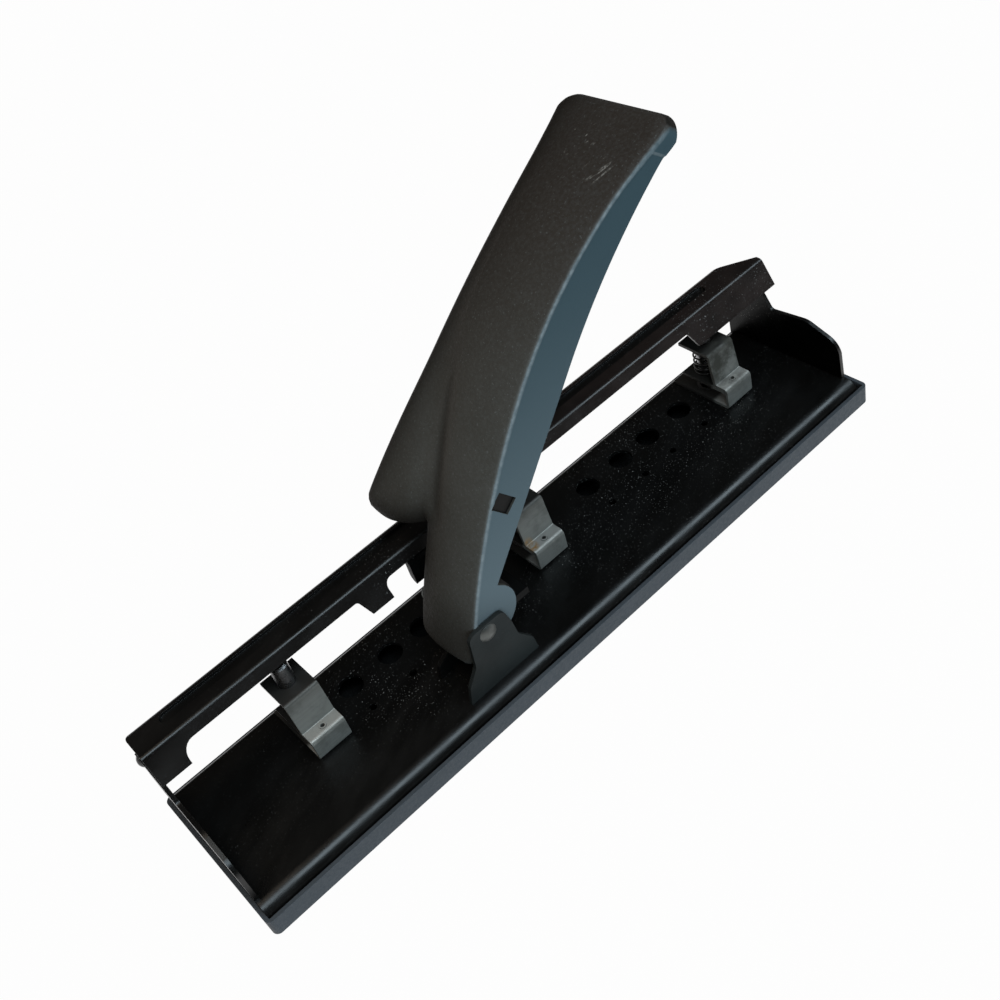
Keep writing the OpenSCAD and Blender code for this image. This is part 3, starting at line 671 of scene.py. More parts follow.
@dataclass(frozen=True)
class Steel:
    """Bare or plated steel, drawn along one axis, with stains; where given, a painted highlight on faces that
    look up and painted shade on the pieces further back.
    """

    name: str
    colour: Colour
    dull: Colour
    roughness: float
    drawn: Point
    stain: float = 0.3
    metallic: float = 1.0
    spots: tuple[tuple[Point, float, Colour], ...] = ()
    # Painted shade: a dark colour on the plated pieces further back, behind the straps' fronts
    oiled: Optional[Colour] = None
    # Painted highlight: a lighter colour on faces that look up
    wiped: Optional[Colour] = None
    oiled_from_y: Span = (-0.0105, -0.008)

    def material(self) -> bpy.types.Material:
        """Wires the finish.

        Returns:
            The new material.
        """
        board = Board(self.name)
        board.feed(Metallic=self.metallic)
        lines = board.noise(1.0, 4.0, 0.65, board.turned(self.drawn))
        patch = board.noise(160.0, 5.0, 0.62)
        film = board.product(board.window(patch, 0.42, 0.72), self.stain)
        metal = board.blend(film, self.colour, self.dull)
        metal = board.blend(board.window(lines, 0.35, 0.8, 0.0, 0.35), metal, self.dull)
        if self.wiped is not None:
            # Painted highlight on faces that look up
            metal = board.blend(board.toward("Z", 0.6, 0.9, 0.0, 0.8), metal, self.wiped)
        # Painted shade on the plated pieces further back, behind the straps' fronts
        if self.oiled is not None:
            metal = board.blend(board.along("Y", *self.oiled_from_y), metal, self.oiled)
        rough = board.window(patch, 0.3, 0.75, self.roughness, self.roughness + 0.16)
        for at, radius, colour in self.spots:
            ragged = board.window(board.noise(1.9 / radius, 5.0, 0.66), 0.34, 0.62)
            spot = board.product(ragged, board.spot(at, radius))
            metal = board.blend(spot, metal, colour)
            rough = board.combine("ADD", rough, board.product(spot, 0.3))
        board.feed(Base_Color=metal)
        board.feed(Roughness=rough)
        board.feed(Normal=board.relief(lines, 0.00003, 0.5))
        return board.material


@dataclass
class Finishes:
    """The punch's finishes, made once and shared."""

    made: dict[Slot, bpy.types.Material] = field(default_factory=dict)

    def build(self) -> None:
        """Makes every finish."""
        recipes: dict[Slot, Any] = {
            Slot.FRAME_PAINT: Enamel(
                "gloss_black_enamel", (0.001, 0.00095, 0.0009), roughness=0.27, specular=0.5, dust=0.34,
                # Dust with a painted warm reflection on the beam's top
                film=(0.0115, 0.0075, 0.0066),
            ),
            Slot.BRACKET_PAINT: Enamel(
                "satin_black_enamel", (0.009, 0.0102, 0.01), roughness=0.42, specular=0.12, dust=0.1,
                # Painted shade on the pieces behind the front ear
                inner=(0.0022, 0.0021, 0.002),
            ),
            Slot.HANDLE: Moulded(
                "charcoal_grip_plastic", (0.058, 0.054, 0.048), shade=(0.049, 0.045, 0.039),
                worn=(0.2, 0.215, 0.22), roughness=0.62, grain=2200.0, specular=0.07,
                # Painted light: the wall's bluish colours stand for the front light, brighter at the foot;
                # the tip colour is painted shade
                wall=((0.108, 0.13, 0.141), (0.031, 0.051, 0.06)), tip=(0.025, 0.0195, 0.016), edge=True,
                scratches=(
                    ((0.047, -0.03, 0.1614), 0.0062, (110.0, 800.0, 800.0), 0.57),
                    ((0.0544, -0.0152, 0.164), 0.0085, (420.0, 760.0, 760.0), 0.66),
                ),
            ),
            Slot.PAN: Moulded(
                "grey_pan_plastic", (0.046, 0.051, 0.058), shade=(0.039, 0.044, 0.05), worn=(0.09, 0.1, 0.11),
                # Painted shade on the pan's floor
                roughness=0.5, grain=1900.0, specular=0.25, inside=(0.004, 0.004, 0.004),
            ),
            Slot.RUBBER: Moulded(
                "foot_rubber", (0.02, 0.02, 0.02), shade=(0.014, 0.014, 0.014), worn=(0.05, 0.05, 0.05),
                roughness=0.8, grain=900.0,
            ),
            Slot.PLATED: Steel(
                "plated_strap_steel", (0.165, 0.163, 0.15), dull=(0.085, 0.083, 0.074), roughness=0.44,
                # Painted shade on the plated pieces behind the straps' fronts
                drawn=(40.0, 1900.0, 1900.0), stain=0.6, metallic=0.5, oiled=(0.03, 0.027, 0.024),
                # Painted highlight on the straps' upward faces
                wiped=(0.36, 0.345, 0.32),
                spots=(
                    ((-0.0058, -0.0135, 0.0243), 0.0036, (0.33, 0.165, 0.04)),
                    ((0.108, -0.0105, 0.033), 0.017, (0.045, 0.042, 0.035)),
                ),
            ),
            Slot.TOOL: Steel(
                "ground_tool_steel", (0.32, 0.32, 0.325), dull=(0.2, 0.2, 0.205), roughness=0.24,
                drawn=(1200.0, 1200.0, 90.0), stain=0.25,
            ),
            Slot.SPRING: Steel(
                "drawn_spring_steel", (0.12, 0.118, 0.115), dull=(0.06, 0.059, 0.057), roughness=0.3,
                drawn=(700.0, 700.0, 700.0),
            ),
            Slot.RIVET: Steel(
                "dull_rivet_steel", (0.155, 0.165, 0.16), dull=(0.08, 0.084, 0.08), roughness=0.42,
                drawn=(600.0, 600.0, 600.0), stain=0.6,
            ),
        }
        for slot, recipe in recipes.items():
            self.made[slot] = recipe.material()

    def dress(self, piece: bpy.types.Object, slot: Slot) -> None:
        """Gives a piece one finish, in place of what it had."""
        piece.data.materials.clear()
        piece.data.materials.append(self.made[slot])

    def dress_nodes(self, frame: dict[str, Any]) -> None:
        """Gives every CAD node the finish of its slot in the record."""
        for row in frame["record"]["subparts"]:
            self.dress(frame["nodes"][row["node"]], Slot(row["material_slot"]))


@dataclass
class Handle:
    """The moulded handle: an arched arm at the front and a broad grip that ends in a round lobe.

    Sizes are millimetres in the lever's own plane: u from the pivot to the tip, w square to it, y across.
    A fall is the length that divides a squared distance to give how far an arch has dropped there. The
    grip's rear edge is one cubic curve, pulled by the two points of its waist. The crease's line is given at
    both ends of crease_u, and the arm's two lines at the fork and at the crease's upper end.
    """

    pivot: tuple[float, float] = (-49.25, 38.7)
    rest_angle: float = 50.0
    heel: float = -15.6
    tip: float = 176.0
    crown: float = 20.2
    crown_u: float = 88.0
    tip_fall: float = 282.0
    heel_fall: float = 525.0
    lobe_fall: float = 3000.0
    rim_level: float = 0.8
    rim_u: float = 95.0
    rim_fall: float = 450.0
    hook_u: float = 164.4
    beam_level: float = 17.77
    beam_slope: float = 0.1763
    lobe_from: float = 26.0
    waist: tuple[Span, Span] = ((70.0, 8.5), (115.0, -9.5))
    crease_u: Span = (33.0, 100.0)
    crease_line: Span = (-18.0, -10.0)
    arm_middle_line: Span = (-26.4, -20.5)
    arm_half_line: Span = (14.5, 20.5)
    lobe_blend: float = 13.0
    dome_middle: float = 3.0
    dome_half: float = 11.0
    valley_depth: float = 1.3
    valley_width: float = 3.0
    front: float = -40.9
    arm_rear: float = -11.9
    fork_u: float = 28.0
    lobe_u: float = 21.2
    lobe_over: float = 16.8
    tip_fore: float = 1.4
    tip_slant: float = 2.2
    tip_rear: float = 4.6
    wall: float = 2.2
    edge_r: float = 1.0
    heel_r: float = 2.6
    tip_r: float = 3.0
    rear_r: float = 4.6
    arm_r: float = 3.0
    plan_r: float = 5.0
    tip_plan_r: float = 7.0
    lobe_plan_r: float = 6.0
    arm_crown: float = 3.2
    boss: tuple[float, float, float] = (5.5, -0.7, 11.7)
    rear_boss_r: float = 11.5
    panel_sink: float = 0.35
    panel_end: float = 165.4
    window_at: tuple[float, float] = (47.9, 10.8)
    window_size: tuple[float, float] = (6.3, 8.8)
    window_turn: float = -12.0
    bore_d: float = 4.5

    def arch(self, u: Array) -> Array:
        """Top line of the arm's front edge."""
        fall = np.where(u > self.crown_u, self.tip_fall, self.heel_fall)
        return self.crown - (u - self.crown_u) ** 2 / fall

    def lobe_arch(self, u: Array) -> Array:
        """Top line of the grip's lower end."""
        fall = np.where(u > self.crown_u, self.tip_fall, self.lobe_fall)
        return self.crown - (u - self.crown_u) ** 2 / fall

    def rim(self, u: Array) -> Array:
        """Lower line of the side walls, hooked down at the tip.

        Args:
            u: Places along the lever.

        Returns:
            Heights of the line.
        """
        heel_side = np.minimum(self.rim_level, self.arch(u) - self.wall)
        tip_side = self.rim_level - (u - self.rim_u) ** 2 / self.rim_fall
        plain = np.where(u > self.rim_u, tip_side, heel_side)
        hook = np.interp(u, [self.hook_u, 170.0, self.tip + self.tip_fore], [-9.9, -13.2, -12.2])
        return np.where(u > self.hook_u, hook, plain)

    def over_beam(self, u: Array) -> Array:
        """Lowest line of the grip over the beam."""
        return self.beam_level - self.beam_slope * u

    def rear(self, u: Array) -> Array:
        """The grip's waisted rear edge.

        Args:
            u: Places along the lever.

        Returns:
            Places of the edge across the lever.
        """
        t = np.linspace(0.0, 1.0, 60)
        m = 1.0 - t
        weights = np.array([m**3, 3 * m * m * t, 3 * m * t * t, t**3])
        ends = (self.lobe_from, self.lobe_over), (self.tip - 6.0, self.tip_rear + 0.2)
        along, across = np.array([ends[0], *self.waist, ends[1]]).T @ weights
        return np.interp(u, np.append(along, self.tip), np.append(across, self.tip_rear))

    def crease(self, u: Array) -> Array:
        """Line along which the arm and the lobe meet, as places across the lever."""
        return np.interp(u, self.crease_u, self.crease_line)

    def lobe_end(self, y: Array) -> Array:
        """The lobe's lower end, which bends up to the arm."""
        share = np.clip((10.0 - y) / (10.0 - self.arm_rear), 0.0, 1.0)
        return self.lobe_u + (self.fork_u - self.lobe_u) * share**2

    def tip_at(self, y: Array) -> Array:
        """The slanted end of the tip."""
        return self.tip + self.tip_fore - self.tip_slant * (y - self.front) / (self.tip_rear - self.front)

    def front_r(self, u: Array) -> Array:
        """Rounding of the front edge: crisp along the arm, softer at the heel and the tip."""
        at_heel = (self.heel_r - self.edge_r) * (1.0 - self.ease(u, self.heel + 4.0, self.heel + 22.0))
        return self.edge_r + at_heel + (self.tip_r - self.edge_r) * self.ease(u, 146.0, 172.0)

    @staticmethod
    def ease(value: Array, low: float, high: float) -> Array:
        """Smooth step from 0 at low to 1 at high."""
        t = np.clip((value - low) / (high - low), 0.0, 1.0)
        return t * t * (3.0 - 2.0 * t)

    @staticmethod
    def fillet(depth: Array, radius: Any) -> Array:
        """How far a rounded edge has dropped at a distance in from the outline."""
        short = np.clip(radius - depth, 0.0, radius)
        return radius - np.sqrt(np.maximum(radius * radius - short * short, 0.0))

    def skin(self, u: Array, y: Array) -> Array:
        """Height of the top skin before its edges are rounded: crowned arm, crease, domed lobe.

        Args:
            u: Places along the lever.
            y: Places across it.

        Returns:
            Heights of the skin.
        """
        fade = 1.0 - self.ease(u, 140.0, 172.0)
        ends = (self.fork_u, self.crease_u[1])
        middle = np.interp(u, ends, self.arm_middle_line)
        half = np.interp(u, ends, self.arm_half_line)
        arm = self.arch(u) + self.arm_crown * (1.0 - ((y - middle) / half) ** 2) * fade
        crease = self.crease(u)
        side = np.clip((y - crease) / self.lobe_blend, 0.0, 1.0)
        bulge = 1.0 - ((y - self.dome_middle) / self.dome_half) ** 2
        dome = 0.3 + 0.8 * bulge * (1.0 - self.ease(u, 50.0, 100.0))
        begun = self.ease(u + 20.0 * self.ease(y, self.arm_rear, -5.5), 24.0, 36.0)
        rise = (self.lobe_arch(u) + dome * fade - arm) * np.sin(side * math.pi / 2) * begun
        depth = self.valley_depth * (1.0 - self.ease(u, 55.0, 108.0)) * self.ease(u, 26.0, 34.0)
        valley = depth * np.exp(-(((y - crease) / self.valley_width) ** 2))
        return arm + np.where(y < crease, 0.0, rise) - valley

    @staticmethod
    def round_corner(along: Array, across: Array, radius: float) -> tuple[Array, Array, Array]:
        """Bends a square corner of a sheet round.

        Args:
            along: Distance in from one edge.
            across: Distance in from the other edge.
            radius: Radius of the round corner.

        Returns:
            Both distances after the bend, and the distance in from the round outline.
        """
        x = np.clip(1.0 - along / radius, 0.0, 1.0)
        z = np.clip(1.0 - across / radius, 0.0, 1.0)
        bent_x = x * np.sqrt(1.0 - z * z / 2.0)
        bent_z = z * np.sqrt(1.0 - x * x / 2.0)
        inside = (x > 0.0) & (z > 0.0)
        new_along = np.where(inside, radius * (1.0 - bent_x), along)
        new_across = np.where(inside, radius * (1.0 - bent_z), across)
        depth = np.where(inside, radius * (1.0 - np.hypot(bent_x, bent_z)), np.minimum(along, across))
        return new_along, new_across, depth

    def rows(self) -> tuple[list[float], list[float]]:
        """Stations along the lever: below the fork, and from the fork on as distances from it.

        Returns:
            Both lists.
        """
        low = [-15.6, -15.45, -15.0, -14.4, -13.6, -12.6, -11.6, -11.3, -10.6, -9.2, -7.6, -6.3, -6.0, -5.2]
        low += [-3.8, -2.0, 0.0, 2.0, 4.0, 6.0, 8.0, 9.8, 10.9, 11.4, 11.7, 12.8, 14.2, 15.4, 16.4, 17.0]
        low += [17.25, 18.6, 21.0, 23.3, 25.2, 26.6, 27.5]
        high = [0.0, 0.35, 1.35, 2.84, 4.6] + list(np.linspace(7.6, 132.0, 41))
        high += [134.2, 135.5, 135.8, 136.4, 136.7, 137.8]
        high += [self.reach() - d for d in (9.0, 7.0, 5.4, 4.2, 3.0, 2.0, 1.24, 0.6, 0.15, 0.0)]
        return low, high

    def reach(self) -> float:
        """Distance from the fork to the tip, along the seam of the two sheets."""
        return float(self.tip_at(self.arm_rear)) - self.fork_u

    def arm_sheet(self) -> bpy.types.Object:
        """Top skin of the arm, from the heel to the tip.

        Returns:
            The new sheet.
        """
        low, high = self.rows()
        us = np.array(low + [self.fork_u + h for h in high])
        spread = [0.09, 0.2, 0.32, 0.45, 0.58, 0.7, 0.81, 0.91, 1.0]
        width = self.arm_rear - self.front
        rounded = [width - d for d in (3.0, 1.85, 0.88, 0.23, 0.0)]
        by_edge = [0.0, 0.07, 0.27, 0.56, 1.0] + [1.0 - s for s in spread] + [0.0] * len(rounded)
        fixed = np.array([0.0] * 5 + [(width - 4.4) * s for s in spread] + rounded)
        piece, row, column = Bench.grid("handle_arm", len(us), len(fixed))
        u = us[row]
        y = self.front + self.front_r(u) * np.array(by_edge)[column] + fixed[column]
        tip = self.tip_at(y)
        past = np.maximum(u - self.fork_u, 0.0)
        u = u + past * ((tip - self.fork_u) / self.reach() - 1.0)
        heel_in, front_in, front_depth = self.round_corner(u - self.heel, y - self.front, self.plan_r)
        u, y = self.heel + heel_in, self.front + front_in
        heel_in, rear_in, rear_depth = self.round_corner(u - self.heel, self.arm_rear - y, self.plan_r)
        u, y = self.heel + heel_in, self.arm_rear - rear_in
        tip_in, front_in, tip_depth = self.round_corner(tip - u, y - self.front, self.tip_plan_r)
        u, y = tip - tip_in, self.front + front_in
        fork = np.where(u < self.fork_u, rear_depth, self.from_fork(u, y))
        near_heel = u - self.heel < 8.0
        front = np.where(near_heel, front_depth, np.minimum(tip_depth, front_depth))
        drop = np.maximum(self.fillet(front, self.front_r(u)), self.fillet(fork, self.arm_r))
        w = self.skin(u, y) - drop
        Bench.move(piece, np.column_stack([u, y, w]))
        return piece

    def grip_sheet(self) -> bpy.types.Object:
        """Top skin of the grip behind the arm, from the lobe to the tip.

        Returns:
            The new sheet.
        """
        _, high = self.rows()
        shares = [0.0, 0.07, 0.14, 0.21, 0.29, 0.37, 0.46, 0.56, 0.67, 0.78, 0.89, 1.0]
        ins = [3.36, 2.84, 1.35, 0.35, 0.0]
        piece, row, column = Bench.grid("handle_grip", len(high), len(shares) + len(ins))
        along = np.array(high)[row] / self.reach()
        share = np.array(shares + [1.0] * len(ins))[column]
        into = np.array([self.rear_r] * len(shares) + ins)[column]
        start = self.lobe_end(self.arm_rear + share * (self.lobe_over - self.arm_rear))
        tip = np.full_like(along, self.tip_at(self.arm_rear))
        for _ in range(2):
            u = start + along * (tip - start)
            edge = self.rear(u)
            spread = self.arm_rear + share * (edge - self.rear_r - self.arm_rear)
            y = np.where(column < len(shares), spread, edge - into)
            tip = self.tip_at(y)
        u = start + along * (tip - start)
        end_in, rear_in, end_depth = self.round_corner(u - start, edge - y, self.lobe_plan_r)
        u, y = start + end_in, edge - rear_in
        tip_in, rear_in, tip_depth = self.round_corner(tip - u, edge - y, self.plan_r)
        u, y = tip - tip_in, edge - rear_in
        radius = self.arm_r + (self.rear_r - self.arm_r) * self.ease(y, self.arm_rear, self.arm_rear + 7.0)
        corner = np.maximum(tip_in, rear_in) < self.plan_r
        rear_depth = np.where(tip - u < 8.0, np.where(corner, tip_depth, edge - y), end_depth)
        rear_drop = self.fillet(rear_depth, radius)
        tip_drop = self.fillet(np.where(corner, tip_depth, tip - u), self.front_r(u))
        w = self.skin(u, y) - np.maximum(rear_drop * (1.0 - 0.55 * self.ease(u, 150.0, 176.0)), tip_drop)
        Bench.move(piece, np.column_stack([u, y, w]))
        return piece

    def wall_foot(self, u: Array, y: Array, w: Array) -> Array:
        """Lower end of the side wall under each point of the skin's outline.

        Args:
            u: Places along the lever.
            y: Places across it.
            w: Heights of the outline.

        Returns:
            Heights of the wall's lower end.
        """
        rim = self.rim(u)
        at_u, at_w, r = self.boss
        chord = np.sqrt(np.maximum(r * r - (u - at_u) ** 2, 0.0))
        front = np.where(np.abs(u - at_u) < r, np.minimum(rim, at_w - chord), rim)
        chord = np.sqrt(np.maximum(self.rear_boss_r**2 - u * u, 0.0))
        below_fork = np.where(u < 14.5, np.minimum(0.0, w - 1.0), rim)
        back = np.where(np.abs(u) < self.rear_boss_r, -chord, below_fork)
        grip = np.maximum(rim, self.over_beam(u))
        is_front = y < self.front + self.plan_r
        is_arm = (y < self.arm_rear + 0.02) & (u < self.fork_u - 0.02)
        foot = np.where(is_front, front, np.where(is_arm, back, grip))
        return np.minimum(foot, w - 0.4)

    def drop_walls(self, piece: bpy.types.Object) -> None:
        """Extrudes the skin's outline down to the rim in three steps: edge band, sunk panel, wall.

        Args:
            piece: The skin.
        """
        Bench.hold(piece)
        bpy.ops.object.mode_set(mode="EDIT")
        bpy.ops.mesh.select_mode(type="EDGE")
        bpy.ops.mesh.select_all(action="DESELECT")
        bpy.ops.mesh.select_non_manifold(
            extend=False, use_wire=False, use_boundary=True, use_multi_face=False, use_non_contiguous=False,
            use_verts=False,
        )
        feet: dict[tuple[float, float], float] = {}
        for step in WallStep:
            bpy.ops.mesh.extrude_edges_move()
            bpy.ops.object.mode_set(mode="OBJECT")
            places = Bench.points(piece)
            chosen = np.zeros(len(places), bool)
            piece.data.vertices.foreach_get("select", chosen)
            u, y, w = places[chosen].T
            if step is WallStep.BAND:
                foot = self.wall_foot(u, y, w)
                lower = np.maximum(w - 0.9, w + (foot - w) * 0.3)
                feet = {(round(a, 3), round(b, 3)): f for a, b, f in zip(u, y, foot)}
                places[chosen] = np.column_stack([u, y, lower])
            elif step is WallStep.PANEL:
                flat_front = np.abs(y - self.front) < 0.02
                on_panel = flat_front & (u < self.panel_end)
                sink = np.where(on_panel, self.panel_sink * self.ease(u, -10.0, -6.0), 0.0)
                keys = [(round(a, 3), round(b, 3)) for a, b in zip(u, y)]
                low = np.array([feet[k] for k in keys])
                feet = {(round(a, 3), round(b + s, 3)): f for a, b, s, f in zip(u, y, sink, low)}
                places[chosen] = np.column_stack([u, y + sink, w - np.minimum(0.12, (w - low) * 0.2)])
            else:
                keys = [(round(a, 3), round(b, 3)) for a, b in zip(u, y)]
                places[chosen] = np.column_stack([u, y, [feet[k] for k in keys]])
            Bench.move(piece, places)
            bpy.ops.object.mode_set(mode="EDIT")
        bpy.ops.mesh.select_mode(type="VERT")
        bpy.ops.object.mode_set(mode="OBJECT")

    def from_fork(self, u: Array, y: Array) -> Array:
        """Distance from the arm's rear edge below the fork, and from the fork's corner past it."""
        return np.hypot(np.maximum(u - self.fork_u, 0.0), self.arm_rear - y)

    def rib(self) -> bpy.types.Object:
        """Inner wall between the arm's bay and the grip's bay.

        Returns:
            The new wall.
        """
        us = np.linspace(30.0, 168.0, 40)
        piece, row, column = Bench.grid("handle_rib", len(us), 4)
        u = us[row]
        y = np.full_like(u, self.arm_rear - self.wall / 2)
        top = self.skin(u, y) - 1.0
        low = self.rim(u)
        w = low + (top - low) * column / column.max()
        Bench.move(piece, np.column_stack([u, y, w]))
        Bench.modify(piece, "SOLIDIFY", thickness=self.wall, offset=0.0, use_even_offset=True)
        return piece

    def cut_openings(self, piece: bpy.types.Object) -> None:
        """Cuts the snap window and the pivot's bores, in the lever's plane in millimetres.

        Args:
            piece: The handle.
        """
        window = Bench.add("snap_cutter", bpy.ops.mesh.primitive_cube_add, size=1.0)
        turn = Matrix.Rotation(-math.radians(self.window_turn), 4, "Y")
        size = Matrix.Diagonal((self.window_size[0], 8.0, self.window_size[1], 1.0))
        at = Matrix.Translation((self.window_at[0], self.front, self.window_at[1]))
        window.data.transform(at @ turn @ size)
        Bench.cut(piece, window)
        bore = Bench.add(
            "bore_cutter", bpy.ops.mesh.primitive_cylinder_add, vertices=48, radius=self.bore_d / 2,
            depth=60.0,
        )
        bore.data.transform(Matrix.Translation((0.0, -28.0, 0.0)) @ Matrix.Rotation(math.pi / 2, 4, "X"))
        Bench.cut(piece, bore)

    def mark_wear(self, piece: bpy.types.Object) -> None:
        """Writes how worn each point is: the front edge, the parting line by the tip, a little of the heel.

        Args:
            piece: The handle.
        """
        u, y, w = Bench.points(piece).T
        radius = self.front_r(u)
        top = self.skin(u, np.full_like(u, self.front))
        reach = np.hypot(y - self.front - 0.03 * radius, w - top + 0.8 * radius)
        wear = np.exp(-((reach / 0.62) ** 2))
        parting = (np.abs(u - self.panel_end) < 0.45) & (y < self.front + 0.5) & (w < top)
        heel = np.exp(-(((u - self.heel) / 1.2) ** 2)) * np.exp(-(((y - self.front) / 7.0) ** 2))
        wear = np.maximum.reduce([wear, 0.5 * parting, 0.4 * heel])
        self.write(piece, "edge_wear", wear)

    def mark_grime(self, piece: bpy.types.Object) -> None:
        """Writes how much painted shade each point takes: the crease, the rear edges that face away from the
        light, the heel and the inside.

        Args:
            piece: The handle.
        """
        u, y, w = Bench.points(piece).T
        crease = self.crease(u)
        creased = np.exp(-(((y - crease - 0.8) / 2.4) ** 2))
        creased *= (1.0 - self.ease(u, 55.0, 115.0)) * self.ease(u, 22.0, 32.0)
        far = 99.0
        by_lobe = np.where(u < 60.0, u - self.lobe_end(y), far)
        by_end = np.where(y < self.arm_rear + 0.1, self.from_fork(u, y), by_lobe)
        depth = np.maximum(np.minimum(by_end, np.where(u < self.fork_u, by_end, self.rear(u) - y)), 0.0)
        rim = 0.65 * np.exp(-((depth / 6.0) ** 2)) + 0.4 * (1.0 - self.ease(depth, 0.0, 26.0))
        heel = 0.75 * (1.0 - self.ease(u, self.heel + 4.0, self.heel + 34.0))
        inside = (y > self.front + 1.2) & (w < self.skin(u, y) - 1.6)
        self.write(piece, "grime", np.maximum.reduce([0.6 * creased, rim, heel, inside]))

    @staticmethod
    def write(piece: bpy.types.Object, name: str, values: Array) -> None:
        """Stores a number from 0 to 1 on each of a piece's points."""
        mark = piece.data.attributes.new(name, "FLOAT", "POINT")
        mark.data.foreach_set("value", np.clip(values, 0.0, 1.0).astype(np.float32))

    def to_world(self) -> Matrix:
        """Matrix from the lever's plane in millimetres to the shared frame in metres.

        Returns:
            The matrix.
        """
        a = math.radians(self.rest_angle)
        c, s = math.cos(a), math.sin(a)
        return Matrix((
            (c * MM, 0.0, -s * MM, self.pivot[0] * MM),
            (0.0, MM, 0.0, 0.0),
            (s * MM, 0.0, c * MM, self.pivot[1] * MM),
            (0.0, 0.0, 0.0, 1.0),
        ))

    def build(self, finishes: Finishes) -> bpy.types.Object:
        """Models the handle and puts it in the place of its CAD node.

        Args:
            finishes: The shared finishes.

        Returns:
            The finished handle.
        """
        piece = Bench.join(self.arm_sheet(), [self.grip_sheet()])
        piece.name = "handle_moulding"
        Bench.weld(piece, 0.02)
        self.drop_walls(piece)
        with Bench.editing(piece):
            bpy.ops.mesh.normals_make_consistent(inside=False)
        if sum(p.normal.z * p.area for p in piece.data.polygons) < 0.0:
            piece.data.flip_normals()
        Bench.modify(piece, "SOLIDIFY", thickness=self.wall, offset=-1.0, use_quality_normals=True)
        Bench.join(piece, [self.rib()])
        self.cut_openings(piece)
        self.mark_wear(piece)
        self.mark_grime(piece)
        piece.data.transform(self.to_world())
        Bench.smooth(piece, 42)
        finishes.dress(piece, Slot.HANDLE)
        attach(piece, Body.LEVER.value)
        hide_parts("handle_shell")
        return piece


@dataclass
class ReturnSpring:
    """A pin's return spring: round wire, open curls and a closed curl at each end. Millimetres."""

    low: float = 22.02
    high: float = 34.88
    mean_r: float = 4.7
    wire: float = 0.8
    curls: float = 5.5
    closed: float = 0.85
    keep: float = 0.2605
    sides: int = 12
    steps: int = 28

    def build(self, head: Head, finishes: Finishes) -> bpy.types.Object:
        """Winds one spring.

        Args:
            head: The head that it lifts.
            finishes: The shared finishes.

        Returns:
            The finished spring.
        """
        name = f"coil_{head.label}"
        piece = Bench.add(
            name, bpy.ops.mesh.primitive_circle_add, vertices=self.sides, radius=self.wire / 2,
            fill_type="NOTHING",
        )
        upright = Matrix.Rotation(math.pi / 2, 4, "X")
        piece.data.transform(Matrix.Translation((self.mean_r, 0, 0)) @ upright)
        rise = self.high - self.low - self.wire
        steps = int(self.steps * self.curls)
        Bench.modify(
            piece, "SCREW", angle=2 * math.pi * self.curls, screw_offset=rise, axis="Z", steps=steps,
            render_steps=steps, use_smooth_shade=True,
        )
        self.close_ends(piece, rise)
        with Bench.editing(piece):
            bpy.ops.mesh.select_all(action="DESELECT")
            bpy.ops.mesh.select_non_manifold(extend=False)
            bpy.ops.mesh.edge_face_add()
            bpy.ops.mesh.select_all(action="SELECT")
            bpy.ops.mesh.normals_make_consistent(inside=False)
        shift = Matrix.Translation((head.x, 0.0, self.low + self.wire / 2))
        piece.data.transform(Matrix.Scale(MM, 4) @ shift)
        Bench.smooth(piece, 50)
        finishes.dress(piece, Slot.SPRING)
        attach(piece, Body.FRAME.value)
        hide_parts(f"return_spring_{head.label}")
        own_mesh(piece)
        return piece

    def close_ends(self, piece: bpy.types.Object, rise: float) -> None:
        """Moves the pitch away from the end curls, so that they lie nearly flat.

        Args:
            piece: The spring.
            rise: Height from its first ring of vertices to its last.
        """
        places = Bench.points(piece)
        rings = len(places) // self.sides
        in_rings = float(np.ptp(places[: self.sides, 2])) < 1.5 * self.wire
        station = (np.repeat if in_rings else np.tile)(np.arange(rings), self.sides)
        along = station / (rings - 1)
        even = along * rise
        flat = self.closed / self.curls
        lead = self.wire * 1.02
        curve = np.interp(along, [0.0, flat, 1.0 - flat, 1.0], [0.0, lead, rise - lead, rise])
        places[:, 2] += curve - even
        Bench.move(piece, places)


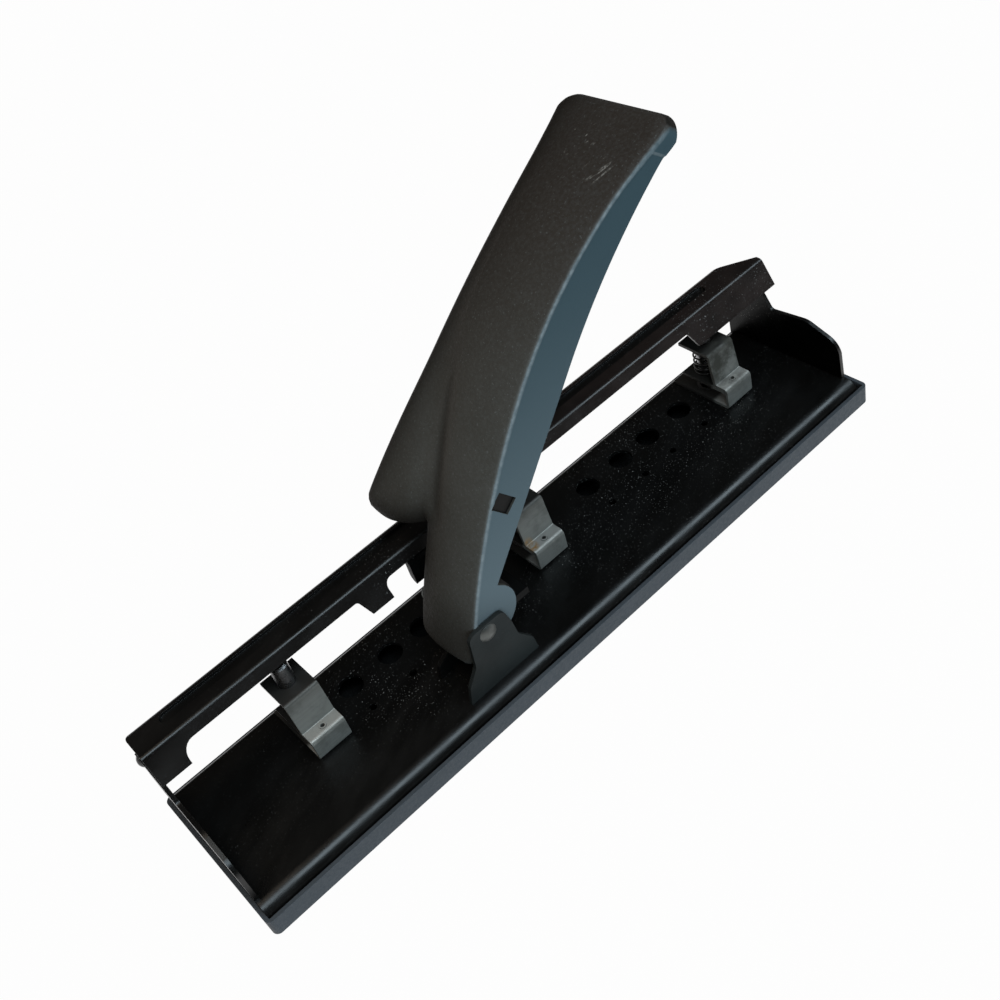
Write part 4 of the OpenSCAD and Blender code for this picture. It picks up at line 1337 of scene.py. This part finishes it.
@dataclass
class SheetMetal:
    """Pieces that keep their CAD form, with their cut and bent edges rounded, in millimetres.

    The front bend is given by the Y and Z of its axis and its radius in the CAD model.
    """

    painted: tuple[tuple[str, float], ...] = (("base_frame", 0.35), ("top_beam", 0.7))
    satin: tuple[tuple[str, float], ...] = (("lever_bracket", 0.3),)
    strap_edge: float = 0.16
    pan_edge: float = 0.4
    front_bend: tuple[float, float, float] = (-47.0, 10.0, 3.0)
    front_roll: float = 6.2
    wall_toe: float = 0.4

    def build(self, frame: dict[str, Any], finishes: Finishes) -> list[bpy.types.Object]:
        """Makes the rounded copies.

        Args:
            frame: The loaded frame.
            finishes: The shared finishes.

        Returns:
            The finished pieces.
        """
        plan = [(node, width, Body.FRAME, Slot.FRAME_PAINT) for node, width in self.painted]
        plan += [(node, width, Body.FRAME, Slot.BRACKET_PAINT) for node, width in self.satin]
        plan += [(f"head_strap_{head.label}", self.strap_edge, Body.FRAME, Slot.PLATED) for head in Head]
        plan.append(("chip_pan", self.pan_edge, Body.TRAY, Slot.PAN))
        return [self.copy(frame, *row, finishes) for row in plan]

    def roll_front(self, places: Array) -> Array:
        """Opens the frame's long front bend to the softer roll of the real sheet.

        Args:
            places: The frame's vertices in metres.

        Returns:
            The vertices, with the bend's outer arc on its wider radius and the end walls' toes behind it.
        """
        at_y, at_z, radius = (v * MM for v in self.front_bend)
        wider = self.front_roll * MM
        out = at_y - places[:, 1]
        up = places[:, 2] - at_z
        on_arc = (np.abs(np.hypot(out, up) - radius) < 2e-5) & (out > -1e-6) & (up > -1e-6)
        moved = places.copy()
        moved[on_arc, 1] = at_y + wider - radius - out[on_arc] * wider / radius
        moved[on_arc, 2] = at_z - wider + radius + up[on_arc] * wider / radius
        behind = at_y + wider - radius + self.wall_toe * MM
        toe = ~on_arc & (places[:, 1] < behind) & (up > radius - 1e-6)
        moved[toe, 1] = behind
        return moved

    def copy(
        self, frame: dict[str, Any], node: str, width: float, body: Body, slot: Slot, finishes: Finishes
    ) -> bpy.types.Object:
        """Puts a rounded copy in the place of one CAD node.

        Args:
            frame: The loaded frame.
            node: The node's name.
            width: Width of the rounding.
            body: The body it rides on.
            slot: Its material slot.
            finishes: The shared finishes.

        Returns:
            The finished copy.
        """
        reshape = self.roll_front if node == "base_frame" else None
        piece = Bench.softened(frame["nodes"][node], f"{node}_finished", width * MM, reshape)
        finishes.dress(piece, slot)
        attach(piece, body.value)
        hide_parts(node)
        return piece


@dataclass(frozen=True)
class Softbox:
    """One soft lamp: where it stands, where it looks, its size and power."""

    name: str
    at: Point
    target: Point
    size: tuple[float, float]
    watts: float
    colour: Colour = (1.0, 1.0, 1.0)
    mirrored: bool = True

    def build(self) -> None:
        """Adds the lamp."""
        lamp = bpy.data.lights.new(self.name, "AREA")
        lamp.shape = "RECTANGLE"
        lamp.size, lamp.size_y = self.size
        lamp.energy = self.watts
        lamp.color = self.colour
        stand = bpy.data.objects.new(self.name, lamp)
        bpy.context.scene.collection.objects.link(stand)
        stand.location = self.at
        aim = Vector(self.target) - Vector(self.at)
        stand.rotation_euler = aim.to_track_quat("-Z", "Y").to_euler()
        stand.visible_glossy = self.mirrored


@dataclass
class Studio:
    """Camera, floor, world and lamps."""

    camera_at: Point = (-0.165236, -0.290236, 0.360609)
    camera_turn: Point = (44.46695, 13.06060, -41.84891)
    lens: float = 44.3166
    floor_size: float = 6.0
    floor_colour: Colour = (0.25, 0.215, 0.18)
    floor_glow: float = 0.98
    horizon: float = 0.1
    ambient: float = 0.12
    ceiling: float = 0.03
    room_colour: Colour = (1.0, 0.95, 0.88)
    lamps: tuple[Softbox, ...] = (
        Softbox(
            "front_fill", (-0.2, -1.0, 0.32), (0.0, -0.03, 0.06), (1.2, 0.5), 10.0, (0.68, 0.88, 1.0),
            mirrored=False,
        ),
        Softbox("edge_strip", (0.375, -0.4, 0.9), (0.375, -0.05, 0.02), (1.3, 0.36), 8.0, (0.74, 0.9, 1.0)),
        Softbox("warm_left", (-0.45, 0.05, 0.9), (0.0, 0.0, 0.08), (0.6, 0.6), 2.2, (1.0, 0.85, 0.68)),
        Softbox(
            "back_fill", (0.2, 1.1, 0.2), (0.0, 0.0, 0.06), (1.2, 0.4), 4.0, (1.0, 0.98, 0.95), mirrored=False
        ),
    )

    def build(self) -> None:
        """Sets up everything that isn't the punch."""
        scene = bpy.context.scene
        scene.view_settings.view_transform = "Standard"
        self.place_camera(scene)
        self.lay_floor()
        self.light_world(scene)
        for lamp in self.lamps:
            lamp.build()

    def place_camera(self, scene: bpy.types.Scene) -> None:
        """Puts the camera where the photograph was taken from.

        Args:
            scene: The scene.
        """
        data = bpy.data.cameras.new("photo_camera")
        data.lens = self.lens
        data.sensor_width = 36.0
        data.clip_start, data.clip_end = 0.01, 50.0
        camera = bpy.data.objects.new("photo_camera", data)
        scene.collection.objects.link(camera)
        camera.location = self.camera_at
        camera.rotation_euler = tuple(math.radians(a) for a in self.camera_turn)
        scene.camera = camera

    def lay_floor(self) -> None:
        """Lays a plain pale floor that keeps a faint shadow."""
        floor = Bench.add("studio_floor", bpy.ops.mesh.primitive_plane_add, size=self.floor_size)
        material = bpy.data.materials.new("pale_floor")
        material.use_nodes = True
        nodes = Nodes(material.node_tree)
        rays = nodes.node("LightPath", {})
        seen = nodes.most(rays["Is Camera Ray"], rays["Is Glossy Ray"], rays["Is Transmission Ray"])
        matt = nodes.node("BsdfDiffuse", {"Color": self.floor_colour})["BSDF"]
        glow = nodes.node("Emission", {})["Emission"]
        mixed = nodes.node("MixShader", {0: nodes.product(seen, self.floor_glow), 1: matt, 2: glow})
        nodes.node("OutputMaterial", {"Surface": mixed["Shader"]})
        floor.data.materials.append(material)

    def light_world(self, scene: bpy.types.Scene) -> None:
        """A white room, dim above the table for the punch's gloss, and a low even light from it.

        Args:
            scene: The scene.
        """
        world = bpy.data.worlds.new("white_room")
        scene.world = world
        world.use_nodes = True
        nodes = Nodes(world.node_tree)
        rays = nodes.node("LightPath", {})
        direct = nodes.most(rays["Is Camera Ray"], rays["Is Transmission Ray"])
        seen = nodes.most(direct, rays["Is Glossy Ray"])
        height = nodes.part(nodes.node("TexCoord", {})["Generated"], "Z")
        room = nodes.window(height, -self.horizon, self.horizon, 1.0, self.ceiling)
        strength = nodes.window(seen, 0.0, 1.0, self.ambient, nodes.most(room, direct))
        tint = nodes.blend(direct, self.room_colour, (1.0, 1.0, 1.0))
        glow = nodes.node("Background", {"Color": tint, "Strength": strength})
        nodes.node("OutputWorld", {"Surface": glow["Background"]})


def main() -> None:
    """Loads the frame, builds each sub-assembly in order and reports it."""
    logging.basicConfig(level=logging.INFO, format="%(name)s: %(message)s")
    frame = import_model()
    studio = Studio()
    studio.build()
    finishes = Finishes()
    finishes.build()
    finishes.dress_nodes(frame)
    handle = Handle().build(finishes)
    LOG.info("%s: %d faces", handle.name, len(handle.data.polygons))
    for piece in SheetMetal().build(frame, finishes):
        LOG.info("%s: %d faces", piece.name, len(piece.data.polygons))
    for head in Head:
        spring = ReturnSpring().build(head, finishes)
        LOG.info("%s: %d faces", spring.name, len(spring.data.polygons))
    Bench.clear()
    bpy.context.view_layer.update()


if __name__ == "__main__":
    main()
